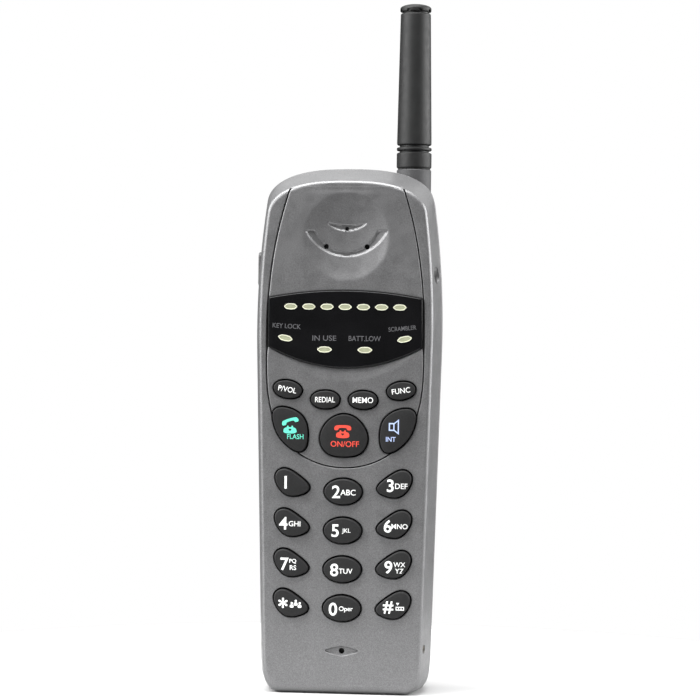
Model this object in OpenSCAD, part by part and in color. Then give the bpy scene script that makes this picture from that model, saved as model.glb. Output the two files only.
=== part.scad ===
// Cordless telephone handset with a screw-on stub antenna.
// It stands upright on its bottom end: +Z is up, the keypad faces -Y and +X is
// the user's right. The origin is the middle of the flat bottom end, in the
// parting plane (Y = 0) between the front and rear shells. Millimetres.

/* [Body] */
// Height of the two shells
body_h = 166.7; // [160:0.5:175]
// Half-width of the shells at the bottom end
base_half_w = 27.0; // [25.5:0.1:28]
// How much the half-width grows for each millimetre of height
side_flare = 0.0256; // [0.015:0.001:0.03]
// Depth of the front shell, from the parting plane to its face
front_depth = 12.0; // [11.8:0.1:13]
// Depth of the rear shell, from the parting plane to its back
rear_depth = 15.0; // [14.5:0.1:17]
// Wall thickness of the shells
wall = 1.8; // [1.4:0.1:2]

/* [Keypad] */
// Distance of the outer key columns from the middle column
column_pitch = 16.3; // [16:0.1:17]
// Row distance of the outer key columns
side_row_pitch = 12.7; // [12.4:0.1:13]
// Row distance of the middle key column
middle_row_pitch = 12.27; // [12:0.01:12.6]
// How far a key travels when it is pressed
key_travel = 0.8; // [0.5:0.1:0.9]
// How far the number keys stand out of the face
key_proud = 1.6; // [1.2:0.1:1.9]
// Gap between a key and the edge of its hole
key_gap = 0.3; // [0.25:0.05:0.4]

/* [Antenna] */
// Sideways place of the antenna axis
antenna_x = 19.7; // [18.5:0.1:20]
// Place of the antenna axis behind the parting plane
antenna_y = 6.0; // [5.8:0.1:6.5]
// Length of the rubber sleeve
sleeve_len = 49.7; // [40:0.2:70]
// Radius of the sleeve at its collar
collar_r = 5.6; // [5.2:0.1:5.8]
// Nominal radius of the threaded stud
stud_r = 3.0; // [2.9:0.05:3.1]

/* [Battery] */
// Length of a rechargeable cell
cell_len = 66; // [60:1:67]
// Radius of a rechargeable cell
cell_r = 5.2; // [5:0.05:5.3]
// Half-width of the battery cover
cover_half_w = 20; // [19.5:0.1:20]
// Top edge of the battery cover
cover_top = 84.5; // [83:0.5:90]

/* [Hidden] */
KEY_NAMES = [
    "1", "2", "3", "4", "5", "6", "7", "8", "9", "star", "0", "hash",
    "volume", "redial", "memory", "function", "flash", "talk", "intercom"];
$fn = 48;

// Shell outline: a slightly barrel-shaped body with a domed top end.
belly_z = 108;
belly_curve = 0.00174;
base_corner = [5.5, 7.0];
crown_h = 10.7;
crown_power = [2.4, 2.6];
outline_steps = [4, 8, 8];
front_draft = 1.9;
front_edge_r = 1.4;
front_crown_drop = 5.6;
front_foot_r = 3.2;
rear_draft = 0.5;
rear_edge_r = 5.0;
inner_face = front_depth - 2.1;

// Face plate: a tongue that runs from the earpiece down round the call keys.
plate_wide_z = 110;
plate_half_w = 24.8;
plate_top_z = 160.2;
plate_low_z = 71.7;
plate_taper = 0.000588;
plate_taper_power = 2.4;
plate_low_power = 3.3;
plate_front = front_depth + 0.2;
plate_back = front_depth - 1.1;
plate_ledge = 1.3;
plate_gap = 0.15;

// Display lens: a gloss band across the face plate.
lens_top_z = 127.4;
lens_top_drop = 2.4;
lens_low_z = 103.1;
lens_low_rise = 6.5;
lens_front = front_depth + 1.0;
lens_back = front_depth - 0.5;

// Earpiece.
ear_z = 144.6;
dish_r = 13.9;
dish_depth = 1.8;
ear_boss_r = 13.6;
ear_back = front_depth - 2.8;
speaker_r = 12.6;
magnet_r = 8.5;
ear_holes = [[0, 2.5, 0.65], [-6.5, -3.2, 0.8], [6.5, -3.2, 0.8]];

// Light guides: sideways place, height, tilt and half-length of each.
channel_z = 122.3;
channel_pitch = 5.77;
guide_end_r = 0.95;
channel_half = 1.1;
status_half = 1.4;
status_places = [[-18.9, 112.3, -12], [-6.4, 108.8, 0], [6.4, 108.8, 0], [18.9, 112.3, 12]];
guide_back = 7.6;
led_size = [2.0, 1.0, 1.25];

// Printed circuit board, in the front shell.
board_front = 6.2;
board_back = 4.6;
board_inset = 3.6;
board_drop = 6.2;
mat_front = 7.4;
flange_back = mat_front + key_travel + 0.6;
flange_front = flange_back + 0.8;
flange_grow = 0.5;

// Case screws: sideways place and height.
upper_screw = [24.0, 104.5];
lower_screw = [11.0, 5.0];
screw_r = 1.0;
screw_head_r = 1.9;
screw_seat = 7.5;

// Side fittings.
side_key_z = 134.4;
side_key_y = 3.2;
side_key_half = [3.9, 1.9];
side_key_travel = 0.6;
jack_z = 132.8;
jack_y = -5.5;
jack_bore_r = 1.28;
contact_z = 14.5;
contact_y = -8.2;
contact_r = 1.3;

// Battery compartment and its hinged cover.
tub_wall = 1.2;
tub_floor = 2.3;
tub_half_w = 18.5;
tub_low = 10;
tub_high = 82;
cover_thick = 1.8;
cover_back = rear_depth;
cover_axis_y = cover_back - cover_thick / 2;
cover_axis_z = 8.9;
cover_clear = 0.2;
cover_pin_r = 0.7;
cover_pin_gap = 0.05;
cover_pin_reach = 21.2;

// Ringer behind its sound slots, and the small notches in the rear shell.
ringer_at = [-8, 138];
ringer_r = 8.5;
slot_half = [5, 0.45];
slot_pitch = 2.2;
notch_ball_r = 12;
notch_depth = 1.2;
pry_slot = [10.6, 17.6];

// Antenna fittings.
thread_len = 5.0;
boss_top = body_h + 0.2;
boss_low = 157.2;
bush_r = 3.8;
seal_thick = 0.5;
sleeve_low = boss_top + seal_thick;
sleeve_top_r = 4.85;
coil_r = 2.3;
coil_wire_r = 0.35;
coil_pitch = 3.3;
coil_turns = 9;

// ---------------------------------------------------------------- outlines

// Half-width of the shells at height z.
function side_at(z) =
    base_half_w + side_flare * z - belly_curve * pow(max(0, z - belly_z), 2);

// Right-hand half of the shell outline, from the bottom end to the crown,
// moved in by inset at the sides, lift at the bottom and drop at the top.
function half_outline(inset, lift, drop) =
    let (flat = side_at(lift) - inset - base_corner[0],
         crown_z = body_h - drop - crown_h,
         low_z = lift + base_corner[1])
    concat(
        [for (k = [0:outline_steps[0]]) let (a = 90 * k / outline_steps[0])
            [flat + base_corner[0] * sin(a), lift + base_corner[1] * (1 - cos(a))]],
        [for (k = [1:outline_steps[1]])
            let (z = low_z + (crown_z - low_z) * k / (outline_steps[1] + 1))
            [side_at(z) - inset, z]],
        [for (k = [0:outline_steps[2]])
            let (a = 90 * k / outline_steps[2],
                 z = crown_z + crown_h * pow(sin(a), 2 / crown_power[0]))
            [(side_at(z) - inset) * pow(cos(a), 2 / crown_power[1]), z]]);

// Closed outline: the right half upwards, then its mirror image downwards.
function shell_outline(inset, lift, drop) =
    let (half = half_outline(inset, lift, drop), n = len(half))
    concat(
        [for (k = [0:n - 2]) half[k]],
        [[0, half[n - 1][1]]],
        [for (k = [n - 2:-1:0]) [-half[k][0], half[k][1]]]);

// Index of the circle that reaches furthest in direction a.
function furthest(circles, a, i = 0, best = 0) =
    i >= len(circles) ? best :
    furthest(circles, a, i + 1,
        reach(circles[i], a) > reach(circles[best], a) ? i : best);
function reach(c, a) = c[0] * cos(a) + c[1] * sin(a) + c[2];

// Outline drawn tightly round some circles [x, z, r], grown by grow.
function rim(circles, grow, steps = 40) = [
    for (k = [0:steps - 1])
        let (a = 360 * (k + 0.5) / steps, c = circles[furthest(circles, a)])
        [c[0] + (c[2] + grow) * cos(a), c[1] + (c[2] + grow) * sin(a)]];

// Circles of one outline moved, turned and mirrored.
function placed(circles, at, turn = 0, side = 1) = [
    for (c = circles)
        [at[0] + side * (c[0] * cos(turn) - c[1] * sin(turn)),
         at[1] + c[0] * sin(turn) + c[1] * cos(turn), c[2]]];

// Half-width of the face plate at height z, above its widest place.
function plate_at(z) =
    plate_half_w - plate_taper * pow(max(0, z - plate_wide_z), plate_taper_power);

// Right-hand half of the face plate outline, from the bottom upwards.
function plate_half(inset) =
    let (drop = plate_wide_z - plate_low_z - inset, steps = 12, rise = 8)
    concat(
        [for (k = [0:steps]) let (a = 90 * (1 - k / steps))
            [(plate_half_w - inset) * cos(a),
             plate_wide_z - drop * pow(sin(a), 2 / plate_low_power)]],
        [for (k = [1:rise])
            let (z = plate_wide_z + (plate_top_z - inset - plate_wide_z) * k / rise)
            [plate_at(z) - inset, z]]);

// Closed face plate outline.
function plate_outline(inset) =
    let (half = plate_half(inset), n = len(half))
    concat(half, [for (k = [n - 1:-1:1]) [-half[k][0], half[k][1]]]);

// Display lens outline: arcs above and below, the plate's edges at its ends.
function lens_outline(grow) =
    let (steps = 10,
         top_w = plate_at(lens_top_z - lens_top_drop) + min(grow, 0),
         low_w = plate_half_w - 0.3 + min(grow, 0))
    concat(
        [for (k = [-steps:steps]) let (u = k / steps)
            [low_w * u, lens_low_z + lens_low_rise * u * u - grow]],
        [for (k = [steps:-1:-steps]) let (u = k / steps)
            [top_w * u, lens_top_z - lens_top_drop * u * u + grow]]);

// ------------------------------------------------------------- key shapes

SIDE_EGG = [[-2.5, 1.5, 3.2], [-0.3, -0.85, 3.8], [4.3, -1.65, 1.6]];
MIDDLE_LEMON = [[0, 0, 4.42], [-2.05, 0, 3.85], [2.05, 0, 3.85], [-4.42, 0, 1.9], [4.42, 0, 1.9]];
SMALL_OVAL = [[0, 0, 3.2], [-2, 0, 2.75], [2, 0, 2.75], [-3.35, 0, 1.55], [3.35, 0, 1.55]];
CALL_WING = [[21.3, 88.9, 1.8], [18.6, 87.9, 2.9], [16.4, 84.4, 5.3], [13.7, 78.7, 2.6]];
CALL_SHIELD = [[0, 82.3, 6.5], [-2.6, 80.6, 5.3], [2.6, 80.6, 5.3], [-3.9, 77.4, 2.7], [3.9, 77.4, 2.7]];
side_row_z = 28.6;
middle_row_z = 27.2;
outer_function = [18.0, 96.1];
inner_function = [6.0, 93.0];

// Number key i of the rows 1 2 3 / 4 5 6 / 7 8 9 / star 0 hash.
function number_hole(i) =
    let (column = i % 3 - 1, row = 3 - floor(i / 3))
    column == 0
        ? placed(MIDDLE_LEMON, [0, middle_row_z + row * middle_row_pitch])
        : placed(SIDE_EGG, [column * column_pitch, side_row_z + row * side_row_pitch], 0, -column);

// Circles of the hole of the key with index i in KEY_NAMES.
function key_hole(i) =
    i < 12 ? number_hole(i) :
    i == 12 ? placed(SMALL_OVAL, [-outer_function[0], outer_function[1]], -10) :
    i == 13 ? placed(SMALL_OVAL, [-inner_function[0], inner_function[1]]) :
    i == 14 ? placed(SMALL_OVAL, inner_function) :
    i == 15 ? placed(SMALL_OVAL, outer_function, 10) :
    i == 16 ? placed(CALL_WING, [0, 0], 0, -1) :
    i == 17 ? CALL_SHIELD :
    placed(CALL_WING, [0, 0]);

// How far the key with index i stands out.
function key_front(i) = i < 12 ? front_depth + key_proud : plate_front + 1.2;

// ---------------------------------------------------------------- helpers

// A plate in the XZ plane, from front to back given as distances in front of
// the parting plane.
module slab(front, back) {
    translate([0, -back, 0]) rotate([90, 0, 0]) linear_extrude(front - back) children();
}

// A round bar along Y.
module bar_y(at, r, front, back) {
    slab(front, back) translate(at) circle(r);
}

// A round bar along X, from x0 to x1, at [y, z].
module bar_x(at, r, x0, x1) {
    translate([x0, at[0], at[1]]) rotate([0, 90, 0]) cylinder(r = r, h = x1 - x0);
}

// A box given by its low and high corners.
module block(low, high) {
    translate(low) cube(high - low);
}

// A closed loft through shell outlines. Each ring is [y, inset, lift, drop].
module shell_loft(rings) {
    outlines = [for (r = rings) shell_outline(r[1], r[2], r[3])];
    n = len(outlines[0]);
    last = len(rings) - 1;
    points = [for (i = [0:last]) for (p = outlines[i]) [p[0], rings[i][0], p[1]]];
    sides = [for (i = [0:last - 1]) for (k = [0:n - 1])
        let (a = i * n + k, b = i * n + (k + 1) % n)
        each [[a, b, b + n], [a, b + n, a + n]]];
    near = [[for (k = [n - 1:-1:0]) k]];
    far = [[for (k = [0:n - 1]) last * n + k]];
    polyhedron(points = points, faces = concat(sides, near, far), convexity = 6);
}

// ----------------------------------------------------------- front housing

// Share of the depth at which each ring of the front shell lies.
front_steps = [1, 0.985, 0.94, 0.86, 0.72, 0];

// Inset of the front shell's side at a distance in front of the parting plane.
function front_inset(depth) =
    let (start = front_depth - front_edge_r,
         over = max(0, depth - start))
    front_draft * min(depth, start) / start
        + front_edge_r - sqrt(max(0, pow(front_edge_r, 2) - pow(over, 2)));

// Lift of the front shell's bottom edge, which stays flat behind its foot.
function front_lift(depth) =
    let (over = max(0, depth - front_depth + front_foot_r))
    front_foot_r - sqrt(max(0, pow(front_foot_r, 2) - pow(over, 2)));

// Drop of the front shell's crown, a straight slope that rounds into the face.
function front_drop(depth) =
    let (slope = front_crown_drop - front_edge_r, start = front_depth - front_edge_r,
         over = max(0, depth - start))
    slope * min(depth, start) / start
        + front_edge_r - sqrt(max(0, pow(front_edge_r, 2) - pow(over, 2)));

module front_block() {
    shell_loft([for (step = front_steps)
        let (depth = step * front_depth)
        [-depth, front_inset(depth), front_lift(depth), front_drop(depth)]]);
}

module front_cavity() {
    shell_loft([for (depth = [inner_face, front_depth - front_foot_r, -0.5])
        [-depth, wall + front_inset(max(0, depth)), wall + front_lift(max(0, depth)),
         wall + front_drop(max(0, depth))]]);
}

module mouth_recess() {
    slab(front_depth + 1, front_depth - 0.7)
        polygon(rim([[0, 13.7, 1.7], [-2.4, 13.7, 1.2], [2.4, 13.7, 1.2],
            [-4.9, 13.7, 0.5], [4.9, 13.7, 0.5]], 0));
}

module front_housing() {
    color([0.5, 0.5, 0.5]) difference() {
        union() {
            difference() {
                front_block();
                front_cavity();
            }
            for (s = [0, 1]) mirror([s, 0, 0]) {
                bar_y(upper_screw, 2.4, board_front + 2, 0);
                bar_y(lower_screw, 2.4, inner_face + 0.5, 0);
                block([24.4, -board_front - 2, upper_screw[1] - 1], [27.2, 0, upper_screw[1] + 1]);
            }
        }
        slab(front_depth + 1, plate_back) polygon(plate_outline(-plate_gap));
        slab(front_depth + 1, inner_face - 1) polygon(plate_outline(plate_ledge));
        for (i = [0:len(KEY_NAMES) - 1]) slab(front_depth + 1, inner_face - 1) polygon(rim(key_hole(i), 0));
        mouth_recess();
        bar_y([0, 13.7], 0.9, front_depth, inner_face - 1);
        for (s = [-1, 1]) {
            bar_y([s * upper_screw[0], upper_screw[1]], screw_r, board_front + 1, -1);
            bar_y([s * lower_screw[0], lower_screw[1]], screw_r, inner_face - 1, -1);
            bar_x([contact_y, contact_z], contact_r + 0.05, min(s * 22.5, s * 30), max(s * 22.5, s * 30));
        }
        bar_x([jack_y, jack_z], 2.75, 26, 31);
    }
}

// -------------------------------------------------------------- face plate

module face_plate() {
    color([0.46, 0.46, 0.46]) difference() {
        union() {
            slab(plate_front, plate_back) polygon(plate_outline(0));
            bar_y([0, ear_z], ear_boss_r, plate_front, ear_back);
        }
        dish();
        slab(front_depth + 2, lens_back) polygon(lens_outline(0.1));
        for (i = [12:18]) slab(front_depth + 2, 1) polygon(rim(key_hole(i), 0));
        for (k = [-3:3]) slab(front_depth + 2, 1) polygon(rim(channel_guide(k), 0.1));
        for (p = status_places) slab(front_depth + 2, 1) polygon(rim(status_guide(p), 0.1));
        for (p = ear_holes) bar_y([p[0], ear_z + p[1]], p[2], front_depth + 1, 1);
    }
}

module dish() {
    ball_r = (dish_r * dish_r + dish_depth * dish_depth) / (2 * dish_depth);
    translate([0, -plate_front + dish_depth - ball_r, ear_z]) sphere(r = ball_r, $fn = 96);
}

function channel_guide(k) = placed(
    [[-channel_half, 0, guide_end_r], [channel_half, 0, guide_end_r]],
    [k * channel_pitch, channel_z]);

function status_guide(p) = placed(
    [[-status_half, 0, guide_end_r], [status_half, 0, guide_end_r]], [p[0], p[1]], p[2]);

module display_lens() {
    color([0.06, 0.06, 0.06]) difference() {
        slab(lens_front, lens_back) polygon(lens_outline(0));
        for (k = [-3:3]) slab(front_depth + 2, 1) polygon(rim(channel_guide(k), 0.05));
        for (p = status_places) slab(front_depth + 2, 1) polygon(rim(status_guide(p), 0.05));
    }
}

module channel_light_guides() {
    color([0.75, 0.76, 0.62])
        for (k = [-3:3]) slab(lens_front + 0.1, guide_back) polygon(rim(channel_guide(k), 0));
}

module status_light_guides() {
    color([0.75, 0.76, 0.62])
        for (p = status_places) slab(lens_front + 0.1, guide_back) polygon(rim(status_guide(p), 0));
}

// A black frame on the board that keeps each light out of its neighbours.
module light_shield() {
    color([0.1, 0.1, 0.1]) difference() {
        block([-22, -inner_face + 0.4, 107.2], [22, -board_front, 124.6]);
        for (k = [-3:3]) slab(front_depth, 1) polygon(rim(channel_guide(k), 0.25));
        for (p = status_places) slab(front_depth, 1) polygon(rim(status_guide(p), 0.25));
    }
}

module indicator_leds() {
    color([0.95, 0.95, 0.9]) {
        for (k = [-3:3]) led([k * channel_pitch, channel_z]);
        for (p = status_places) led(p);
    }
}

module led(at) {
    block([at[0] - led_size[0] / 2, -board_front - led_size[1], at[1] - led_size[2] / 2],
        [at[0] + led_size[0] / 2, -board_front, at[1] + led_size[2] / 2]);
}

// ---------------------------------------------------------------- acoustics

module earpiece_cloth() {
    color([0.15, 0.15, 0.15]) bar_y([0, ear_z], 9.5, ear_back, ear_back - 0.2);
}

module speaker_gasket() {
    color([0.12, 0.12, 0.12]) difference() {
        bar_y([0, ear_z], speaker_r, ear_back, ear_back - 0.6);
        bar_y([0, ear_z], 9.6, ear_back + 1, ear_back - 2);
    }
}

module speaker_frame() {
    color([0.7, 0.7, 0.68]) difference() {
        bar_y([0, ear_z], speaker_r, ear_back - 0.6, ear_back - 3.4);
        bar_y([0, ear_z], 10, ear_back, ear_back - 1.4);
        bar_y([0, ear_z], magnet_r, ear_back - 2.2, ear_back - 4);
    }
}

module speaker_magnet() {
    color([0.35, 0.35, 0.36]) bar_y([0, ear_z], magnet_r - 0.02, ear_back - 2.2, ear_back - 5.6);
}

module microphone_boot() {
    color([0.1, 0.1, 0.1]) difference() {
        bar_y([0, 13.7], 4.0, inner_face, board_front + 0.2);
        bar_y([0, 13.7], 3.0, inner_face - 0.7, 1);
        bar_y([0, 13.7], 1.0, front_depth, 1);
    }
}

module microphone() {
    color([0.75, 0.75, 0.75]) bar_y([0, 13.7], 2.98, inner_face - 0.7, board_front);
}

// -------------------------------------------------------------- electronics

module main_board() {
    color([0.1, 0.35, 0.2]) difference() {
        slab(board_front, board_back) polygon(shell_outline(board_inset, 9.5, board_drop));
        bar_y([0, ear_z], speaker_r + 0.5, 10, 0);
        for (s = [-1, 1]) bar_y([s * upper_screw[0], upper_screw[1]], 2.8, 10, 0);
        for (p = board_screw_places) bar_y(p, 0.8, 10, 0);
        block([17.5, -12, jack_z - 3.5], [30, 0, jack_z + 3.5]);
    }
}

board_screw_places = [[-23.2, 60], [23.2, 60], [-23.6, 116.5], [23.6, 116.5]];

module board_screws() {
    color([0.8, 0.8, 0.78]) for (p = board_screw_places) {
        bar_y(p, 1.5, board_back, board_back - 1);
        bar_y(p, 0.78, board_front + 1.2, board_back - 0.5);
    }
}

module radio_shield() {
    color([0.78, 0.79, 0.8]) difference() {
        block([-19, -board_back, 96], [14, -0.8, 124]);
        block([-18.7, -board_back - 1, 96.3], [13.7, -1.1, 123.7]);
    }
}

module processor_chip() {
    color([0.08, 0.08, 0.08]) block([-8, -board_back, 66], [6, -board_back + 1.8, 80]);
}

module memory_chip() {
    color([0.08, 0.08, 0.08]) block([-17, -board_back, 48], [-7, -board_back + 1.6, 56]);
}

// The filter block that lets the radio send and receive at the same time.
module duplexer() {
    color([0.75, 0.7, 0.5]) block([-16, -0.8, 98], [12, 7.5, 122]);
}

module ringer() {
    color([0.12, 0.12, 0.12]) difference() {
        bar_y(ringer_at, ringer_r, -rear_depth + wall + 4.4, -rear_depth + wall + 0.1);
        bar_y(ringer_at, 1.5, -rear_depth + wall + 1, -rear_depth);
    }
}

module keypad_mat() {
    color([0.6, 0.6, 0.62]) difference() {
        block([-24, -mat_front, 19], [24, -board_front, 101]);
        for (p = board_screw_places) bar_y(p, 1.8, 10, 0);
    }
}

// The collapsing collars under the keys, which push each key back out.
module keypad_domes() {
    color([0.65, 0.65, 0.67]) for (i = [0:len(KEY_NAMES) - 1]) slab(flange_back, mat_front) {
        difference() {
            polygon(rim(key_hole(i), -0.7, 24));
            polygon(rim(key_hole(i), -1.2, 24));
        }
    }
}

// --------------------------------------------------------------------- keys

module key(i) {
    color(i < 12 ? [0.2, 0.2, 0.21] : [0.24, 0.24, 0.25]) {
        slab(key_front(i), flange_front) polygon(rim(key_hole(i), -key_gap));
        slab(flange_front, flange_back) polygon(rim(key_hole(i), flange_grow));
    }
}

module side_outline(grow) {
    polygon(rim([[-side_key_half[0], 0, side_key_half[1]], [side_key_half[0], 0, side_key_half[1]]], grow));
}

// A plate in the YZ plane at the side key, from x0 to x1.
module side_slab(x0, x1) {
    translate([x0, side_key_y, side_key_z]) rotate([0, 90, 0]) linear_extrude(x1 - x0) children();
}

side_wall_x = side_at(side_key_z) - rear_draft * side_key_y / (rear_depth - rear_edge_r);

module side_key() {
    color([0.3, 0.3, 0.3]) {
        side_slab(-side_wall_x - 0.8, -side_wall_x + wall + 0.7) side_outline(-0.25);
        side_slab(-side_wall_x + wall + 0.7, -side_wall_x + wall + 1.5) side_outline(0.6);
    }
}

module side_switch() {
    color([0.15, 0.15, 0.15])
        block([-side_wall_x + wall + 3.3, -board_back, side_key_z - 3.2],
            [-side_wall_x + wall + 6.4, side_key_y + 2, side_key_z + 3.2]);
    color([0.9, 0.9, 0.88])
        bar_x([side_key_y, side_key_z], 1.4, -side_wall_x + wall + 1.7 + side_key_travel,
            -side_wall_x + wall + 3.3);
}

module headset_jack() {
    color([0.1, 0.1, 0.1]) difference() {
        union() {
            block([18, jack_y - 2.6, jack_z - 3], [25.9, jack_y + 3.2, jack_z + 3]);
            bar_x([jack_y, jack_z], 2.2, 25.8, 28.0);
        }
        bar_x([jack_y, jack_z], jack_bore_r, 19.0, 31);
    }
}

module jack_surround() {
    color([0.35, 0.35, 0.35]) difference() {
        bar_x([jack_y, jack_z], 2.7, 26.6, 28.3);
        bar_x([jack_y, jack_z], 2.25, 25, 31);
    }
}

module charge_contacts() {
    color([0.8, 0.75, 0.6]) for (s = [0, 1]) mirror([s, 0, 0]) {
        bar_x([contact_y, contact_z], contact_r, 23.6, 25.3);
        bar_x([contact_y, contact_z], contact_r + 0.4, 23.0, 23.6);
    }
}

// ------------------------------------------------------------- rear housing

module rear_block() {
    shell_loft(concat(
        [[0, 0, 0, 0]],
        [for (a = [0:22.5:90])
            let (over = rear_edge_r * (1 - cos(a)))
            [rear_depth - rear_edge_r * (1 - sin(a)), rear_draft + over, over, rear_draft + over]]));
}

module rear_cavity() {
    shell_loft([
        [-0.5, wall, wall, wall],
        [rear_depth - rear_edge_r, wall + rear_draft, wall, wall + rear_draft],
        [rear_depth - wall, wall + rear_draft + 3.4, wall + 3.4, wall + rear_draft + 3.4]]);
}

module cover_recess() {
    block([-cover_half_w - cover_clear, cover_back - cover_thick - 0.1, cover_axis_z],
        [cover_half_w + cover_clear, cover_back + 3, cover_top + cover_clear]);
    bar_x([cover_axis_y, cover_axis_z], cover_thick / 2 + cover_clear + 0.05,
        -cover_half_w - cover_clear, cover_half_w + cover_clear);
    block([-cover_half_w - cover_clear, cover_axis_y, cover_axis_z - cover_thick / 2 - cover_clear - 0.05],
        [cover_half_w + cover_clear, cover_back + 3, cover_axis_z + 1]);
}

module rear_housing() {
    color([0.47, 0.47, 0.47]) difference() {
        union() {
            difference() {
                rear_block();
                rear_cavity();
            }
            block([-tub_half_w - 2.9, tub_floor - tub_wall, tub_low - tub_wall],
                [tub_half_w + 2.9, cover_back - wall + 0.2, tub_high + 1.8]);
            for (s = [-1, 1]) {
                bar_y([s * upper_screw[0], upper_screw[1]], 3.0, 0, -11);
                bar_y([s * lower_screw[0], lower_screw[1]], 3.0, 0, -13);
            }
            translate([antenna_x, antenna_y, boss_low])
                cylinder(r = collar_r - 0.05, h = boss_top - boss_low);
        }
        block([-tub_half_w, tub_floor, tub_low], [tub_half_w, cover_back + 1, tub_high]);
        cover_recess();
        bar_x([cover_axis_y, cover_axis_z], cover_pin_r + cover_pin_gap, -cover_pin_reach - 0.3,
            cover_pin_reach + 0.3);
        for (s = [-1, 1]) {
            bar_y([s * upper_screw[0], upper_screw[1]], screw_r + 0.15, 1, -16);
            bar_y([s * upper_screw[0], upper_screw[1]], screw_head_r + 0.3, -screw_seat, -16);
            bar_y([s * lower_screw[0], lower_screw[1]], screw_r + 0.15, 1, -16);
            bar_y([s * lower_screw[0], lower_screw[1]], screw_head_r + 0.3, -screw_seat, -16);
        }
        translate([antenna_x, antenna_y, boss_low - 1]) cylinder(r = bush_r, h = 20);
        side_slab(-31, -26) side_outline(0);
        for (k = [-2:2])
            block([ringer_at[0] - slot_half[0], 10, ringer_at[1] + k * slot_pitch - slot_half[1]],
                [ringer_at[0] + slot_half[0], 16, ringer_at[1] + k * slot_pitch + slot_half[1]]);
        translate([0, cover_back - notch_depth + notch_ball_r, cover_top + 1.2]) sphere(r = notch_ball_r);
        block([-30, -1, pry_slot[0]], [-side_at(pry_slot[0]) + 0.8, 1.0, pry_slot[1]]);
    }
}

module battery_cover() {
    color([0.45, 0.45, 0.45]) {
        block([-cover_half_w, cover_back - cover_thick, cover_axis_z], [cover_half_w, cover_back, cover_top]);
        bar_x([cover_axis_y, cover_axis_z], cover_thick / 2, -cover_half_w, cover_half_w);
        bar_x([cover_axis_y, cover_axis_z], cover_pin_r, -cover_pin_reach, cover_pin_reach);
    }
}

module battery_cells() {
    color([0.25, 0.45, 0.7]) for (k = [-1:1])
        translate([k * 2 * (cell_r + 0.02), tub_floor + cell_r + 0.15, tub_low + 2]) {
            cylinder(r = cell_r, h = cell_len);
            cylinder(r = 2, h = cell_len + 1);
        }
}

module battery_wrap() {
    ends = [for (k = [-1:1]) [k * 2 * (cell_r + 0.02), tub_floor + cell_r + 0.15, cell_r]];
    color([0.2, 0.4, 0.65]) translate([0, 0, tub_low + 1.8]) linear_extrude(cell_len + 0.3)
        difference() {
            polygon(rim(ends, 0.12, 48));
            polygon(rim(ends, 0.02, 48));
        }
}

module battery_terminals() {
    color([0.85, 0.8, 0.6]) for (x = [-2 * cell_r, 2 * cell_r]) {
        block([x - 2, tub_floor + 1, tub_high - 0.4], [x + 2, tub_floor + 9, tub_high]);
        block([x - 2, tub_floor + 1, tub_low + cell_len + 3.1], [x + 2, tub_floor + 1.4, tub_high - 0.2]);
        block([x - 2, tub_floor + 1, tub_low + cell_len + 3.05], [x + 2, tub_floor + 8, tub_low + cell_len + 3.4]);
    }
}

module case_screws() {
    color([0.3, 0.3, 0.3]) for (s = [-1, 1]) for (at = [upper_screw, lower_screw]) {
        bar_y([s * at[0], at[1]], screw_head_r, -screw_seat, -screw_seat - 1.4);
        bar_y([s * at[0], at[1]], screw_r - 0.02, board_front, -screw_seat - 1);
    }
}

// ------------------------------------------------------------------ antenna

module on_antenna(z) {
    translate([antenna_x, antenna_y, z]) children();
}

module antenna_bush() {
    color([0.8, 0.68, 0.35]) difference() {
        on_antenna(boss_low - 1) cylinder(r = bush_r - 0.02, h = boss_top - boss_low + 1);
        on_antenna(boss_low - 2) cylinder(r = stud_r + 0.05, h = 20);
    }
}

module antenna_contact() {
    color([0.85, 0.8, 0.6]) {
        block([antenna_x - 2, -board_back, boss_low - 1.4], [antenna_x + 2, antenna_y + 3, boss_low - 1]);
        block([antenna_x - 2, -board_back, boss_low - 7], [antenna_x + 2, -board_back + 0.4, boss_low - 1.2]);
    }
}

module antenna_seal() {
    color([0.08, 0.08, 0.08]) difference() {
        on_antenna(boss_top) cylinder(r = collar_r - 0.4, h = seal_thick);
        on_antenna(boss_top - 1) cylinder(r = stud_r + 0.1, h = 3);
    }
}

module antenna_ferrule() {
    color([0.82, 0.7, 0.38]) {
        on_antenna(boss_top - thread_len) cylinder(r = stud_r, h = thread_len + seal_thick + 0.01);
        on_antenna(sleeve_low) cylinder(r = 4.2, h = 2);
        on_antenna(sleeve_low + 1.9) cylinder(r = 2.8, h = 5);
    }
}

module antenna_core() {
    color([0.9, 0.9, 0.88]) on_antenna(sleeve_low + 6.9) cylinder(r = 1.8, h = sleeve_len - 9.4);
}

// Centre of the coil wire after the given number of degrees.
function coil_at(a) = [coil_r * cos(a), coil_r * sin(a), coil_pitch * a / 360];

module antenna_coil() {
    rings = coil_turns * 10;
    sides = 6;
    slope = coil_pitch / (2 * 3.14159265 * coil_r);
    points = [for (i = [0:rings]) for (k = [0:sides - 1])
        let (a = 36 * i, b = 360 * k / sides, c = coil_at(a), out = coil_wire_r * cos(b),
             up = coil_wire_r * sin(b))
        [c[0] + out * cos(a) + up * slope * sin(a),
         c[1] + out * sin(a) - up * slope * cos(a), c[2] + up]];
    walls = [for (i = [0:rings - 1]) for (k = [0:sides - 1])
        let (a = i * sides + k, b = i * sides + (k + 1) % sides)
        each [[a, a + sides, b + sides], [a, b + sides, b]]];
    low_end = [[for (k = [0:sides - 1]) k]];
    high_end = [[for (k = [sides - 1:-1:0]) rings * sides + k]];
    color([0.8, 0.45, 0.25]) on_antenna(sleeve_low + 10)
        polyhedron(points = points, faces = concat(walls, low_end, high_end), convexity = 10);
}

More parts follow.
